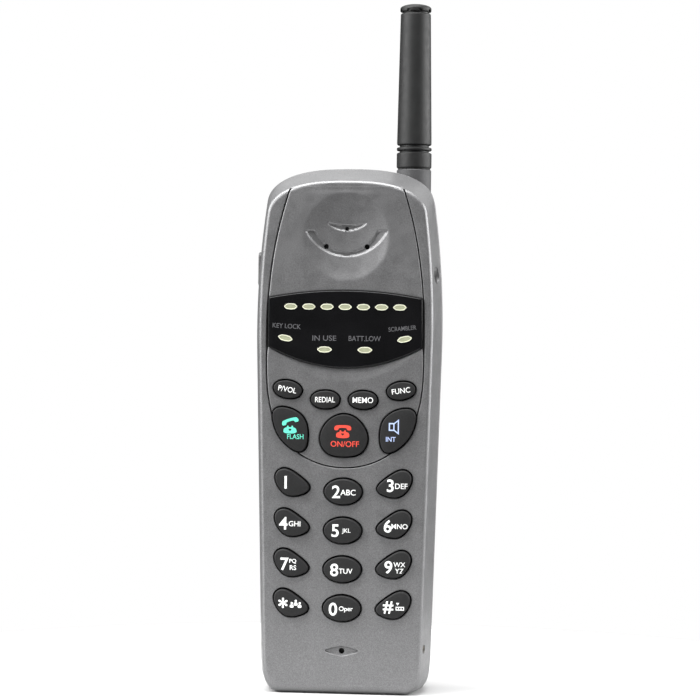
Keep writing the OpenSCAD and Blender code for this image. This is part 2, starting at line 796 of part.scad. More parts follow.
// Half-section of the sleeve as [radius, height above its lower end].
SLEEVE_SECTION = [
    [4.25, 0], [4.9, 0], [5.4, 0.3], [collar_r, 0.9], [collar_r, 4.6], [5.2, 4.9], [4.7, 5.0],
    [4.7, 5.5], [5.5, 5.6], [5.6, 5.9], [5.6, 6.3], [5.5, 6.6], [4.7, 6.7], [4.7, 7.3],
    [5.4, 7.4], [5.55, 7.9], [sleeve_top_r, sleeve_len], [3.0, sleeve_len],
    [3.0, 9], [2.85, 9], [2.85, 2.05], [4.25, 2.05]];

module antenna_sleeve() {
    color([0.25, 0.25, 0.25]) on_antenna(sleeve_low) rotate_extrude() polygon(SLEEVE_SECTION);
}

module antenna_cap() {
    rim_z = sleeve_low + sleeve_len;
    color([0.22, 0.22, 0.22]) difference() {
        on_antenna(rim_z - 2) rotate_extrude() polygon(concat(
            [[0, 0], [2.95, 0], [2.95, 2], [4.2, 2], [4.2, 2.5], [5.0, 2.6], [5.0, 3.7]],
            [for (k = [1:6]) let (a = 15 * k) [4.7 * cos(a) + 0.3 * (1 - k / 6), 3.7 + 1.4 * sin(a)]]));
        for (k = [0:7]) on_antenna(rim_z + 0.55) rotate(45 * k + 22.5)
            translate([4.5, -0.6, 0]) cube([2, 1.2, 0.8]);
    }
}

// -------------------------------------------------------------- all the nodes

front_housing();
face_plate();
rear_housing();
battery_cover();
display_lens();
channel_light_guides();
status_light_guides();
light_shield();
indicator_leds();
earpiece_cloth();
speaker_gasket();
speaker_frame();
speaker_magnet();
microphone_boot();
microphone();
main_board();
radio_shield();
processor_chip();
memory_chip();
duplexer();
ringer();
keypad_mat();
keypad_domes();
headset_jack();
jack_surround();
charge_contacts();
side_key();
side_switch();
battery_cells();
battery_wrap();
battery_terminals();
case_screws();
board_screws();
antenna_bush();
antenna_contact();
antenna_seal();
antenna_ferrule();
antenna_core();
antenna_coil();
antenna_sleeve();
antenna_cap();
for (i = [0:len(KEY_NAMES) - 1]) {
    key(i);
}
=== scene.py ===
"""Looks of a cordless telephone handset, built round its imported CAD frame.

Shapes are worked out in millimetres, in the frame of the CAD part: x to the user's right,
z up, and the depth d in front of the parting plane, so that a point's y is -d.
"""

import math

import bmesh
import bpy
import numpy as np
from mathutils import Matrix, Vector
from mathutils.bvhtree import BVHTree
from mathutils.geometry import delaunay_2d_cdt


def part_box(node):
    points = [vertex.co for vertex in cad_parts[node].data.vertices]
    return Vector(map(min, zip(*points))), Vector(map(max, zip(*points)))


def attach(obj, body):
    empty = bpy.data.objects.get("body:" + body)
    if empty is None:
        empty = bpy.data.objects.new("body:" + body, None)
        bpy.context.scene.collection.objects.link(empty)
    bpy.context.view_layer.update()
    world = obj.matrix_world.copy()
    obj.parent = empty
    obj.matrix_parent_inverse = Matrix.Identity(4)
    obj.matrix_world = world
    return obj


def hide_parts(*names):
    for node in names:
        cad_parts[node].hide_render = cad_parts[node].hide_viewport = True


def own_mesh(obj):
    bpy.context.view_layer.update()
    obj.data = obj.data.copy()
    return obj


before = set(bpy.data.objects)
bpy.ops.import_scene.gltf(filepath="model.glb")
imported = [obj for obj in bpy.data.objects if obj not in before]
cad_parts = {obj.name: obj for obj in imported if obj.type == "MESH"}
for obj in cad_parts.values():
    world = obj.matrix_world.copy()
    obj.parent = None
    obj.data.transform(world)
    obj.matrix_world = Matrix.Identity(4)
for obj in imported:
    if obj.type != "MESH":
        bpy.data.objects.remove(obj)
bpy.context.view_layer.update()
MM = 0.001


def size_mm(node):
    """Lowest and highest corner of a CAD node, in millimetres."""
    low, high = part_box(node)
    return np.array(low) / MM, np.array(high) / MM


def middle_mm(node):
    """Middle of a CAD node, in millimetres."""
    low, high = size_mm(node)
    return (low + high) / 2


def sin(degrees):
    """Sine of an angle in degrees."""
    return math.sin(math.radians(degrees))


def cos(degrees):
    """Cosine of an angle in degrees."""
    return math.cos(math.radians(degrees))


# Driving dimensions, from the CAD nodes.
BODY_H = size_mm("front_housing")[1][2]
FACE = -size_mm("front_housing")[0][1]
BACK = size_mm("rear_housing")[1][1]
PLATE_FACE = -size_mm("face_plate")[0][1]
LENS_FACE = -size_mm("display_lens")[0][1]
GUIDE_FACE = -size_mm("channel_light_guides")[0][1]
WALL = 1.8
PLATE_BACK = FACE - 1.1
PLATE_GAP = 0.35
CONTACT, JACK = (-8.2, 14.5), (-5.5, 132.8)

# Shell outline: a slightly barrel-shaped body with a domed top end.
BASE_HALF_W, SIDE_FLARE = 26.9, 0.0256
BELLY_Z, BELLY_CURVE = 108.0, 0.00174
CORNER_X, CORNER_Z = 5.5, 7.0
CROWN_H, CROWN_POWER_Z, CROWN_POWER_X = 10.7, 2.4, 2.6
FRONT_DRAFT, FRONT_EDGE, CROWN_DROP, FOOT_R = 1.9, 1.4, 5.6, 3.2
REAR_DRAFT, REAR_EDGE = 0.5, 5.0
SEAM = 0.22

# Face plate, lens and earpiece.
PLATE_WIDE_Z, PLATE_HALF_W, PLATE_TOP_Z, PLATE_LOW_Z = 110.0, 24.8, 160.2, 71.7
PLATE_TAPER, PLATE_TAPER_POWER, PLATE_LOW_POWER = 0.000588, 2.4, 3.3
LENS_TOP_Z, LENS_TOP_DROP, LENS_LOW_Z, LENS_LOW_RISE = 127.4, 2.4, 103.1, 6.5
EAR_Z, DISH_R, DISH_DEPTH = 144.6, 13.9, 1.8
MOUTH_Z = 13.7


# ---- outlines


def side_at(z):
    """Half-width of the shells at height z."""
    return BASE_HALF_W + SIDE_FLARE * z - BELLY_CURVE * np.maximum(0, z - BELLY_Z) ** 2


def shell_outline(inset, lift, drop):
    """Closed shell outline, counter-clockwise from the middle of the bottom end."""
    flat = side_at(lift) - inset - CORNER_X
    crown_z = BODY_H - drop - CROWN_H
    low_z = lift + CORNER_Z
    a = np.radians(np.linspace(0, 90, 13))
    corner = np.stack([flat + CORNER_X * np.sin(a), lift + CORNER_Z * (1 - np.cos(a))], 1)
    z = np.linspace(low_z, crown_z, 62)[1:-1]
    side = np.stack([side_at(z) - inset, z], 1)
    a = np.radians(90 * np.linspace(0, 1, 33) ** 1.15)
    z = crown_z + CROWN_H * np.sin(a) ** (2 / CROWN_POWER_Z)
    crown = np.stack([(side_at(z) - inset) * np.cos(a) ** (2 / CROWN_POWER_X), z], 1)
    crown[-1, 0] = 0
    right = np.concatenate([[[0, lift]], [[flat / 2, lift]], corner, side, crown])
    left = right[-2:0:-1] * [-1, 1]
    return np.concatenate([right, left])


def rim(circles, grow=0.0, steps=96):
    """Outline drawn tightly round some circles [x, z, r], grown by grow."""
    c = np.array(circles, float)
    a = (np.arange(steps) + 0.5) * 2 * np.pi / steps
    u = np.stack([np.cos(a), np.sin(a)], 1)
    best = (u @ c[:, :2].T + c[:, 2]).argmax(1)
    return c[best, :2] + (c[best, 2] + grow)[:, None] * u


def placed(circles, at, turn=0.0, side=1):
    """Circles of an outline mirrored, turned and moved."""
    c = np.array(circles, float)
    s, k = sin(turn), cos(turn)
    x = at[0] + side * (c[:, 0] * k - c[:, 1] * s)
    return np.stack([x, at[1] + c[:, 0] * s + c[:, 1] * k, c[:, 2]], 1)


def grown(loop, by):
    """A counter-clockwise loop moved outwards by a small distance."""
    before = loop - np.roll(loop, 1, 0)
    after = np.roll(loop, -1, 0) - loop
    before /= np.linalg.norm(before, axis=1)[:, None]
    after /= np.linalg.norm(after, axis=1)[:, None]
    n = np.stack([before[:, 1] + after[:, 1], -before[:, 0] - after[:, 0]], 1)
    n /= np.linalg.norm(n, axis=1)[:, None]
    cosine = n[:, 0] * after[:, 1] - n[:, 1] * after[:, 0]
    return loop + n * (by / np.maximum(cosine, 0.5))[:, None]


def plate_at(z):
    """Half-width of the face plate at height z, above its widest place."""
    return PLATE_HALF_W - PLATE_TAPER * np.maximum(0, z - PLATE_WIDE_Z) ** PLATE_TAPER_POWER


def plate_low(u):
    """Lower edge of the face plate, a point on it for u from -1 at the left to 1."""
    a = np.radians(90 * (1 - np.abs(u)))
    drop = (PLATE_WIDE_Z - PLATE_LOW_Z) * np.sin(a) ** (2 / PLATE_LOW_POWER)
    return np.stack([PLATE_HALF_W * np.sign(u) * np.cos(a), PLATE_WIDE_Z - drop], 1)


def arc_line(half_w, mid_z, rise, steps=40):
    """A shallow arc from left to right: height mid_z in the middle, mid_z + rise at its ends."""
    u = np.linspace(-1, 1, steps)
    return np.stack([half_w * u, mid_z + rise * u * u], 1)


def lens_ends():
    """Half-widths of the lens at its upper and lower corners."""
    return plate_at(LENS_TOP_Z - LENS_TOP_DROP), PLATE_HALF_W - 0.3


def plate_foot():
    """Lower edge of the face plate, from left to right, denser at its middle."""
    u = np.linspace(-1, 1, 121)
    return plate_low(np.sign(u) * np.abs(u) ** 0.8)


def up_from(low, low_z, top_z, steps):
    """Closes a lower edge with the plate's sides and a level top."""
    z = np.linspace(low_z, top_z, steps)[1:]
    right = np.stack([plate_at(z), z], 1)
    top = np.stack([np.linspace(right[-1, 0], -right[-1, 0], 24)[1:-1], np.full(22, top_z)], 1)
    return np.concatenate([low, right, top, right[::-1] * [-1, 1]])


def plate_upper(top_z):
    """Outline of the plate above the lens."""
    low = arc_line(lens_ends()[0], LENS_TOP_Z + 0.1, -LENS_TOP_DROP, 60)
    return up_from(low, low[-1, 1], top_z, 40)


def plate_lower():
    """Outline of the plate below the lens."""
    low = plate_foot()
    high = arc_line(lens_ends()[1], LENS_LOW_Z - 0.1, LENS_LOW_RISE, 60)[::-1]
    return np.concatenate([low[low[:, 1] < high[0, 1] - 0.2], high])


def plate_opening(top_z):
    """Outline of the whole plate, for the opening that it lies in."""
    return up_from(plate_foot(), PLATE_WIDE_Z, top_z, 60)


def lens_outline():
    """Outline of the lens, between two arcs."""
    top_w, low_w = lens_ends()
    low = arc_line(low_w, LENS_LOW_Z, LENS_LOW_RISE, 60)
    high = arc_line(top_w, LENS_TOP_Z, -LENS_TOP_DROP, 60)[::-1]
    return np.concatenate([low, high])


# ---- mesh making


class Shape:
    """Vertices and faces of one mesh in the making, in millimetres."""

    def __init__(self):
        self.points, self.faces = [], []

    def add(self, points):
        """Adds points given as [x, y, z]."""
        start = len(self.points)
        self.points += [tuple(p) for p in points]
        return list(range(start, len(self.points)))

    def ring(self, loop, depth):
        """Adds a loop of [x, z] at a depth, or at one depth for each point."""
        return self.add([(x, -d, z) for (x, z), d in zip(loop, np.broadcast_to(depth, len(loop)))])

    def side(self, loop, x):
        """Adds a loop of [y, z] at one x."""
        return self.add([(x, y, z) for y, z in loop])

    def bridge(self, a, b):
        """Quads between two rings of the same length."""
        for i in range(len(a)):
            j = (i + 1) % len(a)
            self.faces.append((a[i], a[j], b[j], b[i]))

    def cap(self, ring):
        """Closes a ring with one face."""
        self.faces.append(tuple(ring))

    def stack(self, rings):
        """Joins rings one after the other, and closes both ends."""
        for a, b in zip(rings, rings[1:]):
            self.bridge(a, b)
        self.cap(rings[0])
        self.cap(rings[-1])
        return self

    def hoop(self, rings):
        """Joins rings one after the other, and the last to the first."""
        for a, b in zip(rings, rings[1:] + rings[:1]):
            self.bridge(a, b)
        return self

    def merge(self, other):
        """Takes in another shape."""
        start = len(self.points)
        self.points += other.points
        self.faces += [tuple(i + start for i in f) for f in other.faces]
        return self


def lofted(sections):
    """A solid through outlines of the same length, given as (outline, depth)."""
    shape = Shape()
    return shape.stack([shape.ring(loop, depth) for loop, depth in sections])


def inside(points, loop):
    """Which points lie inside a closed loop."""
    a, b = loop, np.roll(loop, -1, 0)
    x, z = points[:, 0][:, None], points[:, 1][:, None]
    crosses = (a[:, 1] > z) != (b[:, 1] > z)
    run = np.where(b[:, 1] == a[:, 1], 1e-12, b[:, 1] - a[:, 1])
    at = a[:, 0] + (z - a[:, 1]) * (b[:, 0] - a[:, 0]) / run
    return (crosses & (x < at)).sum(1) % 2 == 1


def within(points, loops):
    """Which points lie inside the first loop and outside the others."""
    keep = inside(points, loops[0])
    for loop in loops[1:]:
        keep &= ~inside(points, loop)
    return keep


def distance(points, loop):
    """Distance from each point to a closed loop."""
    a, b = loop, np.roll(loop, -1, 0)
    run = b - a
    t = ((points[:, None] - a) * run).sum(2) / np.maximum((run * run).sum(1), 1e-12)
    near = a + np.clip(t, 0, 1)[..., None] * run
    return np.linalg.norm(points[:, None] - near, axis=2).min(1)


def filled(loops, pitch):
    """Triangles that fill the first loop except for the others: (points, faces, loop indices)."""
    low, high = loops[0].min(0), loops[0].max(0)
    x, z = np.arange(low[0], high[0], pitch), np.arange(low[1], high[1], pitch * 0.87)
    grid = np.array([(p + (k % 2) * pitch / 2, q) for k, q in enumerate(z) for p in x])
    grid = grid[within(grid, loops)]
    for loop in loops:
        grid = grid[distance(grid, loop) > pitch * 0.5]
    points = np.concatenate(list(loops) + [grid])
    edges, start, rings = [], 0, []
    for loop in loops:
        n = len(loop)
        edges += [(start + i, start + (i + 1) % n) for i in range(n)]
        rings.append(list(range(start, start + n)))
        start += n
    out = delaunay_2d_cdt([Vector(p) for p in points], edges, [], 0, 1e-7)
    found, faces = np.array([tuple(p) for p in out[0]]), np.array(out[2])
    keep = within(found[faces].mean(1), loops)
    where = {k: i for i, origin in enumerate(out[3]) for k in origin}
    return found, faces[keep], [[where[i] for i in ring] for ring in rings]


def slab(outline, front, back, edge=0.0, holes=(), hole_edge=0.0, pitch=1.2, steps=5):
    """A closed plate. front gives the depth of its face at each [x, z], and its rims are rounded."""
    shape = Shape()
    level = front if callable(front) else (lambda p: np.full(len(p), float(front)))
    loops = [grown(outline, -edge)] + [grown(h, hole_edge) for h in holes]
    points, faces, rings = filled(loops, pitch)
    top = shape.ring(points, level(points))
    shape.faces += [tuple(top[i] for i in f) for f in faces]
    flat, low_faces, lower = filled([outline, *holes], max(pitch, 2.5))
    base = shape.ring(flat, back)
    shape.faces += [tuple(base[i] for i in f[::-1]) for f in low_faces]
    for k, (loop, r) in enumerate([(outline, edge)] + [(h, hole_edge) for h in holes]):
        last = [top[i] for i in rings[k]]
        sign = -1 if k == 0 else 1
        for step in range(1, steps + 1) if r else []:
            t = 90 * step / steps
            line = grown(loop, sign * r * (1 - sin(t))) if step < steps else loop
            new = shape.ring(line, level(line) - r * (1 - cos(t)))
            shape.bridge(last, new)
            last = new
        shape.bridge(last, [base[i] for i in lower[k]])
    return shape


def linked(name, data):
    """A new object in the scene."""
    thing = bpy.data.objects.new(name, data)
    bpy.context.scene.collection.objects.link(thing)
    return thing


def mesh_now(thing):
    """A new mesh of an object as it now shows, its modifiers done."""
    return bpy.data.meshes.new_from_object(
        thing.evaluated_get(bpy.context.evaluated_depsgraph_get()))


def made(name, shape):
    """The Blender object of a shape, with its normals outwards."""
    mesh = bpy.data.meshes.new(name)
    mesh.from_pydata([tuple(c * MM for c in p) for p in shape.points], [], shape.faces)
    bm = bmesh.new()
    bm.from_mesh(mesh)
    bmesh.ops.remove_doubles(bm, verts=bm.verts, dist=1e-7)
    bmesh.ops.recalc_face_normals(bm, faces=bm.faces)
    bm.to_mesh(mesh)
    bm.free()
    return linked(name, mesh)


def cut(piece, cutters, operation="DIFFERENCE"):
    """Takes shapes out of a piece, one boolean for all of them that don't touch each other."""
    joined = Shape()
    for c in cutters:
        joined.merge(c)
    tool = made("cutter", joined)
    boolean = piece.modifiers.new("cut", "BOOLEAN")
    boolean.operation = operation
    boolean.solver = "MANIFOLD"
    boolean.object = tool
    mesh = mesh_now(piece)
    piece.modifiers.clear()
    old, piece.data = piece.data, mesh
    bpy.data.meshes.remove(old)
    bpy.data.objects.remove(tool)
    return piece


def finished(piece, material, body, nodes=(), smooth=35.0):
    """Gives a piece its material and body, shades it smooth and hides the CAD nodes that it shows in their
    place.
    """
    mesh = piece.data
    mesh.shade_smooth()
    mesh.set_sharp_from_angle(angle=math.radians(smooth))
    normals = piece.modifiers.new("normals", "WEIGHTED_NORMAL")
    normals.keep_sharp = True
    mesh.materials.clear()
    mesh.materials.append(material)
    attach(piece, body)
    if nodes:
        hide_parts(*nodes)
    return piece


def flared(outline, front, back, flare, steps=5, spare=0.3, way=1):
    """Cutter of a hole with a rounded rim, from a face in to back; way is -1 behind the middle."""
    sections = [(grown(outline, flare + spare), way * (front + 0.3))]
    for k in range(steps + 1):
        t = 8 + 82 * k / steps
        depth = front - flare * (1 - cos(t)) + (0.02 if k == 0 else 0)
        sections.append((grown(outline, flare * (1 - sin(t))), way * depth))
    return lofted([*sections, (outline, way * back)])


def disc(at, r, steps=32):
    """Outline of a circle."""
    a = np.arange(steps) * 2 * np.pi / steps
    return np.stack([at[0] + r * np.cos(a), at[1] + r * np.sin(a)], 1)


def straight(outline, front, back):
    """Cutter or boss with straight walls between two depths."""
    return lofted([(outline, front), (outline, back)])


def rounded_box(low, high, r, steps=6):
    """Counter-clockwise outline of a rectangle with round corners."""
    corners = []
    for k, (x, z) in enumerate([(high[0] - r, high[1] - r), (low[0] + r, high[1] - r),
                                (low[0] + r, low[1] + r), (high[0] - r, low[1] + r)]):
        a = np.radians(np.linspace(90 * k, 90 * k + 90, steps))
        corners.append(np.stack([x + r * np.cos(a), z + r * np.sin(a)], 1))
    return np.concatenate(corners)


def turned(section, axis, steps=96):
    """A closed solid of revolution about a vertical axis at [x, y], from [radius, z] points."""
    shape = Shape()
    a = np.arange(steps) * 2 * np.pi / steps
    rings = [shape.add([(axis[0] + r * np.cos(k), axis[1] + r * np.sin(k), z) for k in a])
             for r, z in section]
    return shape.hoop(rings)


def along_x(outline, x0, x1):
    """A solid along X from an outline of [y, z] points."""
    shape = Shape()
    return shape.stack([shape.side(outline, x) for x in (x0, x1)])


# ---- materials


def node_of(tree, kind, **values):
    """A new shader node; an underscore in the name of a value stands for a space."""
    node = tree.nodes.new("ShaderNode" + kind)
    for name, value in values.items():
        node.inputs[name.replace("_", " ")].default_value = value
    return node


def finish_of(name, colour, rough=0.5, metal=0.0, grain=(0.25, 0.02), mottle=(3.0, 0.08),
              coat=0.0, speck=0.0, rough_swing=0.12, sheen=0.0, weave=None, gloss=0.5):
    """A material: colour mottled over a few millimetres, a bumpy grain and an uneven roughness.

    grain is the size of the bumps and their height, mottle the size of the patches and their
    contrast, both sizes in millimetres. speck adds fine light and dark flakes. weave is the
    pitch of a woven pattern. gloss is how strongly a surface that isn't metal mirrors.
    """
    m = bpy.data.materials.new(name)
    m.use_nodes = True
    tree, links = m.node_tree, m.node_tree.links
    shader = tree.nodes["Principled BSDF"]
    for key, value in (("Metallic", metal), ("Specular IOR Level", gloss), ("Coat Weight", coat),
                       ("Coat Roughness", 0.06), ("Sheen Weight", sheen)):
        shader.inputs[key].default_value = value
    place = node_of(tree, "TexCoord").outputs["Object"]

    def noise(size, detail):
        n = node_of(tree, "TexNoise", Scale=1 / (size * MM), Detail=detail)
        links.new(place, n.inputs["Vector"])
        return n.outputs["Fac"]

    def swing(value, low, high):
        r = node_of(tree, "MapRange", From_Min=0.3, From_Max=0.7, To_Min=low, To_Max=high)
        links.new(value, r.inputs["Value"])
        return r.outputs["Result"]

    def times(a, b):
        t = node_of(tree, "Math")
        t.operation = "MULTIPLY"
        links.new(a, t.inputs[0])
        links.new(b, t.inputs[1])
        return t.outputs[0]

    shade = swing(noise(mottle[0], 3), 1 - mottle[1], 1 + mottle[1])
    if speck:
        shade = times(shade, swing(noise(0.22, 1), 1 - speck, 1 + speck))
    if weave:
        waves = []
        for axis in ("X", "Z"):
            w = node_of(tree, "TexWave", Scale=0.314 / (weave * MM))
            w.bands_direction = axis
            links.new(place, w.inputs["Vector"])
            waves.append(w.outputs["Fac"])
        cloth = times(*waves)
        shade = times(shade, swing(cloth, 0.5, 1.4))
    tint = node_of(tree, "VectorMath")
    tint.operation = "SCALE"
    tint.inputs[0].default_value = colour
    links.new(shade, tint.inputs["Scale"])
    links.new(tint.outputs["Vector"], shader.inputs["Base Color"])
    links.new(swing(noise(mottle[0] * 0.6, 2), max(0.02, rough - rough_swing * rough),
                    min(1, rough + rough_swing * rough)), shader.inputs["Roughness"])
    bump = node_of(tree, "Bump", Distance=grain[1] * MM, Strength=0.6)
    links.new(cloth if weave else noise(grain[0], 2), bump.inputs["Height"])
    links.new(bump.outputs["Normal"], shader.inputs["Normal"])
    return m


GREY = (0.19, 0.19, 0.193)
SHELL = finish_of("shell_paint", GREY, 0.42, 0.6, (0.3, 0.02), (6, 0.03), speck=0.22)
PLATE = finish_of("plate_paint", (0.185, 0.185, 0.188), 0.42, 0.6, (0.3, 0.02), (6, 0.03), speck=0.22)
# The antenna boss wears the shell's grey paint, a little more matt; its much darker colour is painted shade.
BOSS_SHADE_PAINT = finish_of("antenna_boss_painted_shade", (0.075, 0.075, 0.077), 0.6, 0.2, (0.3, 0.03), (6, 0.03), speck=0.15,
                 gloss=0.3)
LENS = finish_of("lens_black", (0.0045, 0.0045, 0.005), 0.16, 0, (9, 0.01), (8, 0.2), gloss=0.3)
# Light guides: on top of their own tint, the domes' darker green is partly painted shade and the rims' pale
# cream is partly painted highlight.
GUIDE_TINT_AND_SHADE = finish_of("light_guide", (0.34, 0.355, 0.24), 0.35, 0, (0.5, 0.02), (1.2, 0.1))
CREAM_AND_HIGHLIGHT = finish_of("guide_rim_cream_and_highlight", (0.78, 0.79, 0.62), 0.45, 0, (0.3, 0.01), (1.5, 0.05))
RUBBER = finish_of("key_rubber", (0.01, 0.01, 0.0103), 0.6, 0, (0.2, 0.02), (1.5, 0.1), speck=0.2, gloss=0.3)
SLEEVE = finish_of("antenna_rubber", (0.014, 0.0143, 0.0143), 0.5, 0, (0.35, 0.03), (3, 0.12),
                   speck=0.1, gloss=0.3)
SEAL = finish_of("seal_rubber", (0.012, 0.012, 0.012), 0.7, 0, (0.2, 0.02), (1, 0.1))
SILICONE = finish_of("silicone", (0.3, 0.3, 0.32), 0.6, 0, (0.4, 0.02), (2, 0.08))
BLACK = finish_of("black_plastic", (0.02, 0.02, 0.021), 0.45, 0, (0.3, 0.03), (2, 0.15))
SIDE = finish_of("side_key_plastic", (0.06, 0.06, 0.061), 0.5, 0, (0.25, 0.02), (1.5, 0.1), speck=0.1)
CHIP = finish_of("chip_black", (0.015, 0.015, 0.017), 0.6, 0, (0.15, 0.02), (1, 0.2), speck=0.2)
TIN = finish_of("tinned_steel", (0.62, 0.63, 0.64), 0.3, 1, (1.5, 0.02), (4, 0.06))
BRASS = finish_of("brass", (0.72, 0.52, 0.22), 0.28, 1, (0.3, 0.02), (2, 0.08))
GOLD = finish_of("contact_gold", (0.85, 0.65, 0.32), 0.22, 1, (0.3, 0.01), (1, 0.06))
COPPER = finish_of("copper_wire", (0.75, 0.33, 0.16), 0.3, 1, (0.2, 0.01), (1, 0.1))
STEEL = finish_of("steel", (0.6, 0.6, 0.6), 0.35, 1, (0.3, 0.02), (2, 0.08))
DARK_STEEL = finish_of("black_steel", (0.08, 0.08, 0.085), 0.4, 1, (0.3, 0.02), (1, 0.15))
NYLON = finish_of("nylon", (0.75, 0.73, 0.68), 0.55, 0, (0.6, 0.03), (3, 0.06))
CELL = finish_of("cell_can", (0.55, 0.56, 0.58), 0.3, 1, (1.2, 0.02), (5, 0.08))
WRAP = finish_of("cell_wrap", (0.05, 0.16, 0.4), 0.25, 0, (4, 0.08), (6, 0.1), coat=0.3)
CLOTH = finish_of("cloth", (0.03, 0.03, 0.03), 0.9, 0, (0.3, 0.05), (1, 0.1), sheen=0.3, weave=0.35)
FERRITE = finish_of("ferrite", (0.06, 0.06, 0.065), 0.65, 0, (0.3, 0.05), (1.5, 0.2), speck=0.15)
WHITE = finish_of("led_white", (0.8, 0.79, 0.7), 0.4, 0, (0.3, 0.01), (1, 0.05))
INK, INK_DIM, INK_GREEN, INK_RED, INK_BLUE = (
    finish_of("ink_" + name, tone, rough, 0, (0.2, 0.005), (0.8, contrast))
    for name, tone, rough, contrast in (
        ("white", (0.86, 0.87, 0.86), 0.55, 0.04), ("grey", (0.085, 0.085, 0.09), 0.5, 0.1),
        ("green", (0.12, 0.68, 0.5), 0.55, 0.05), ("red", (0.72, 0.06, 0.035), 0.55, 0.05),
        ("blue", (0.45, 0.55, 0.85), 0.55, 0.05)))


def circuit_board():
    """Green solder mask with copper tracks showing under it."""
    m = finish_of("board_green", (0.012, 0.11, 0.035), 0.3, 0, (0.6, 0.03), (5, 0.15), coat=0.3)
    tree, links = m.node_tree, m.node_tree.links
    shader = tree.nodes["Principled BSDF"]
    place = node_of(tree, "TexCoord").outputs["Object"]
    tracks = node_of(tree, "TexVoronoi", Scale=1 / (2.6 * MM))
    tracks.distance = "MANHATTAN"
    tracks.feature = "F1"
    links.new(place, tracks.inputs["Vector"])
    band = node_of(tree, "MapRange", From_Min=0.62, From_Max=0.66)
    links.new(tracks.outputs["Distance"], band.inputs["Value"])
    mix = node_of(tree, "Mix")
    mix.data_type = "RGBA"
    links.new(band.outputs["Result"], mix.inputs["Factor"])
    links.new(shader.inputs["Base Color"].links[0].from_socket, mix.inputs[6])
    mix.inputs[7].default_value = (0.035, 0.24, 0.075, 1)
    links.new(mix.outputs[2], shader.inputs["Base Color"])
    return m


BOARD = circuit_board()
CAD_FINISH = {
    "light_shield": BLACK, "indicator_leds": WHITE, "earpiece_cloth": CLOTH,
    "speaker_gasket": SEAL, "speaker_frame": TIN, "speaker_magnet": FERRITE,
    "microphone_boot": SEAL, "microphone": SEAL, "main_board": BOARD, "radio_shield": TIN,
    "processor_chip": CHIP, "memory_chip": CHIP, "duplexer": TIN, "ringer": BLACK,
    "keypad_mat": SILICONE, "headset_jack": BLACK,
    "side_switch": BLACK, "battery_cells": CELL, "battery_wrap": WRAP,
    "battery_terminals": GOLD, "board_screws": STEEL, "antenna_bush": BRASS,
    "antenna_contact": GOLD, "antenna_ferrule": BRASS, "antenna_core": NYLON,
    "antenna_coil": COPPER,
}


def finish_cad_nodes():
    """Gives every CAD node that stays in view its material."""
    for name, material in CAD_FINISH.items():
        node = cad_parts[name]
        node.data.materials.clear()
        node.data.materials.append(material)


# ---- front shell

SIDE_EGG = [[-2.5, 1.5, 3.2], [-0.3, -0.85, 3.8], [4.3, -1.65, 1.6]]
MIDDLE_LEMON = [[0, 0, 4.42], [-2.05, 0, 3.85], [2.05, 0, 3.85], [-4.42, 0, 1.9], [4.42, 0, 1.9]]
SMALL_OVAL = [[0, 0, 3.2], [-2, 0, 2.75], [2, 0, 2.75], [-3.35, 0, 1.55], [3.35, 0, 1.55]]
CALL_WING = [[21.3, 88.9, 1.8], [18.6, 87.9, 2.9], [16.4, 84.4, 5.3], [13.7, 78.7, 2.6]]
CALL_SHIELD = [[0, 82.3, 6.5], [-2.6, 80.6, 5.3], [2.6, 80.6, 5.3],
               [-3.9, 77.4, 2.7], [3.9, 77.4, 2.7]]
NUMBER_KEYS = ["1", "2", "3", "4", "5", "6", "7", "8", "9", "star", "0", "hash"]
KEY_GAP = 0.42


def key_circles():
    """The hole of each key, as circles, placed by the middle of its CAD node."""
    def at(name, circles, turn=0, side=1):
        x, _, z = middle_mm("key_" + name)
        outline = rim(placed(circles, (0, 0), turn, side))
        middle = (outline.min(0) + outline.max(0)) / 2
        return placed(circles, (x - middle[0], z - middle[1]), turn, side)

    holes = {}
    for i, name in enumerate(NUMBER_KEYS):
        column = i % 3 - 1
        holes[name] = at(name, SIDE_EGG if column else MIDDLE_LEMON, 0, -column or 1)
    for name, turn in (("volume", -10), ("redial", 0), ("memory", 0), ("function", 10)):
        holes[name] = at(name, SMALL_OVAL, turn)
    holes["flash"] = at("flash", CALL_WING, 0, -1)
    holes["talk"] = at("talk", CALL_SHIELD)
    holes["intercom"] = at("intercom", CALL_WING)
    return holes


KEY_HOLES = key_circles()


def key_outline(name, grow=0.0):
    """Outline of a key's hole, its flats bulged a little, kept inside its own box."""
    loop = rim(KEY_HOLES[name], 0, 360)
    run = np.linalg.norm(np.roll(loop, -1, 0) - loop, axis=1)
    along = np.concatenate([[0], np.cumsum(run)])
    closed = np.concatenate([loop, loop[:1]])
    at = np.linspace(0, along[-1], 97)[:-1]
    even = np.stack([np.interp(at, along, closed[:, k]) for k in (0, 1)], 1)
    kernel = np.exp(-0.5 * (np.arange(-14, 15) / 5.5) ** 2)
    soft = sum(w * np.roll(even, k, 0) for k, w in zip(range(-14, 15), kernel / kernel.sum()))
    low, high = loop.min(0), loop.max(0)
    soft = low + (soft - soft.min(0)) * (high - low) / (soft.max(0) - soft.min(0))
    return grown(soft, grow) if grow else soft


def edge_depths(face, r, angles):
    """Depths at some angles round an edge of radius r that ends at a face."""
    return [face - r * (1 - sin(t)) for t in angles]


def edge_step(over, r):
    """How far a rounded edge of radius r has come in, over past its start."""
    over = min(max(0.0, over), r)
    return r - math.sqrt(max(0.0, r * r - over * over))


def front_ring(depth, inset=0.0):
    """Shell outline of the front shell at a depth, moved in by inset."""
    start = FACE - FRONT_EDGE
    share = min(depth, start) / start
    come_in = FRONT_DRAFT * share + edge_step(depth - start, FRONT_EDGE)
    lift = edge_step(depth - FACE + FOOT_R, FOOT_R)
    drop = (CROWN_DROP - FRONT_EDGE) * share + edge_step(depth - start, FRONT_EDGE)
    return shell_outline(come_in + inset, lift + inset, drop + inset)


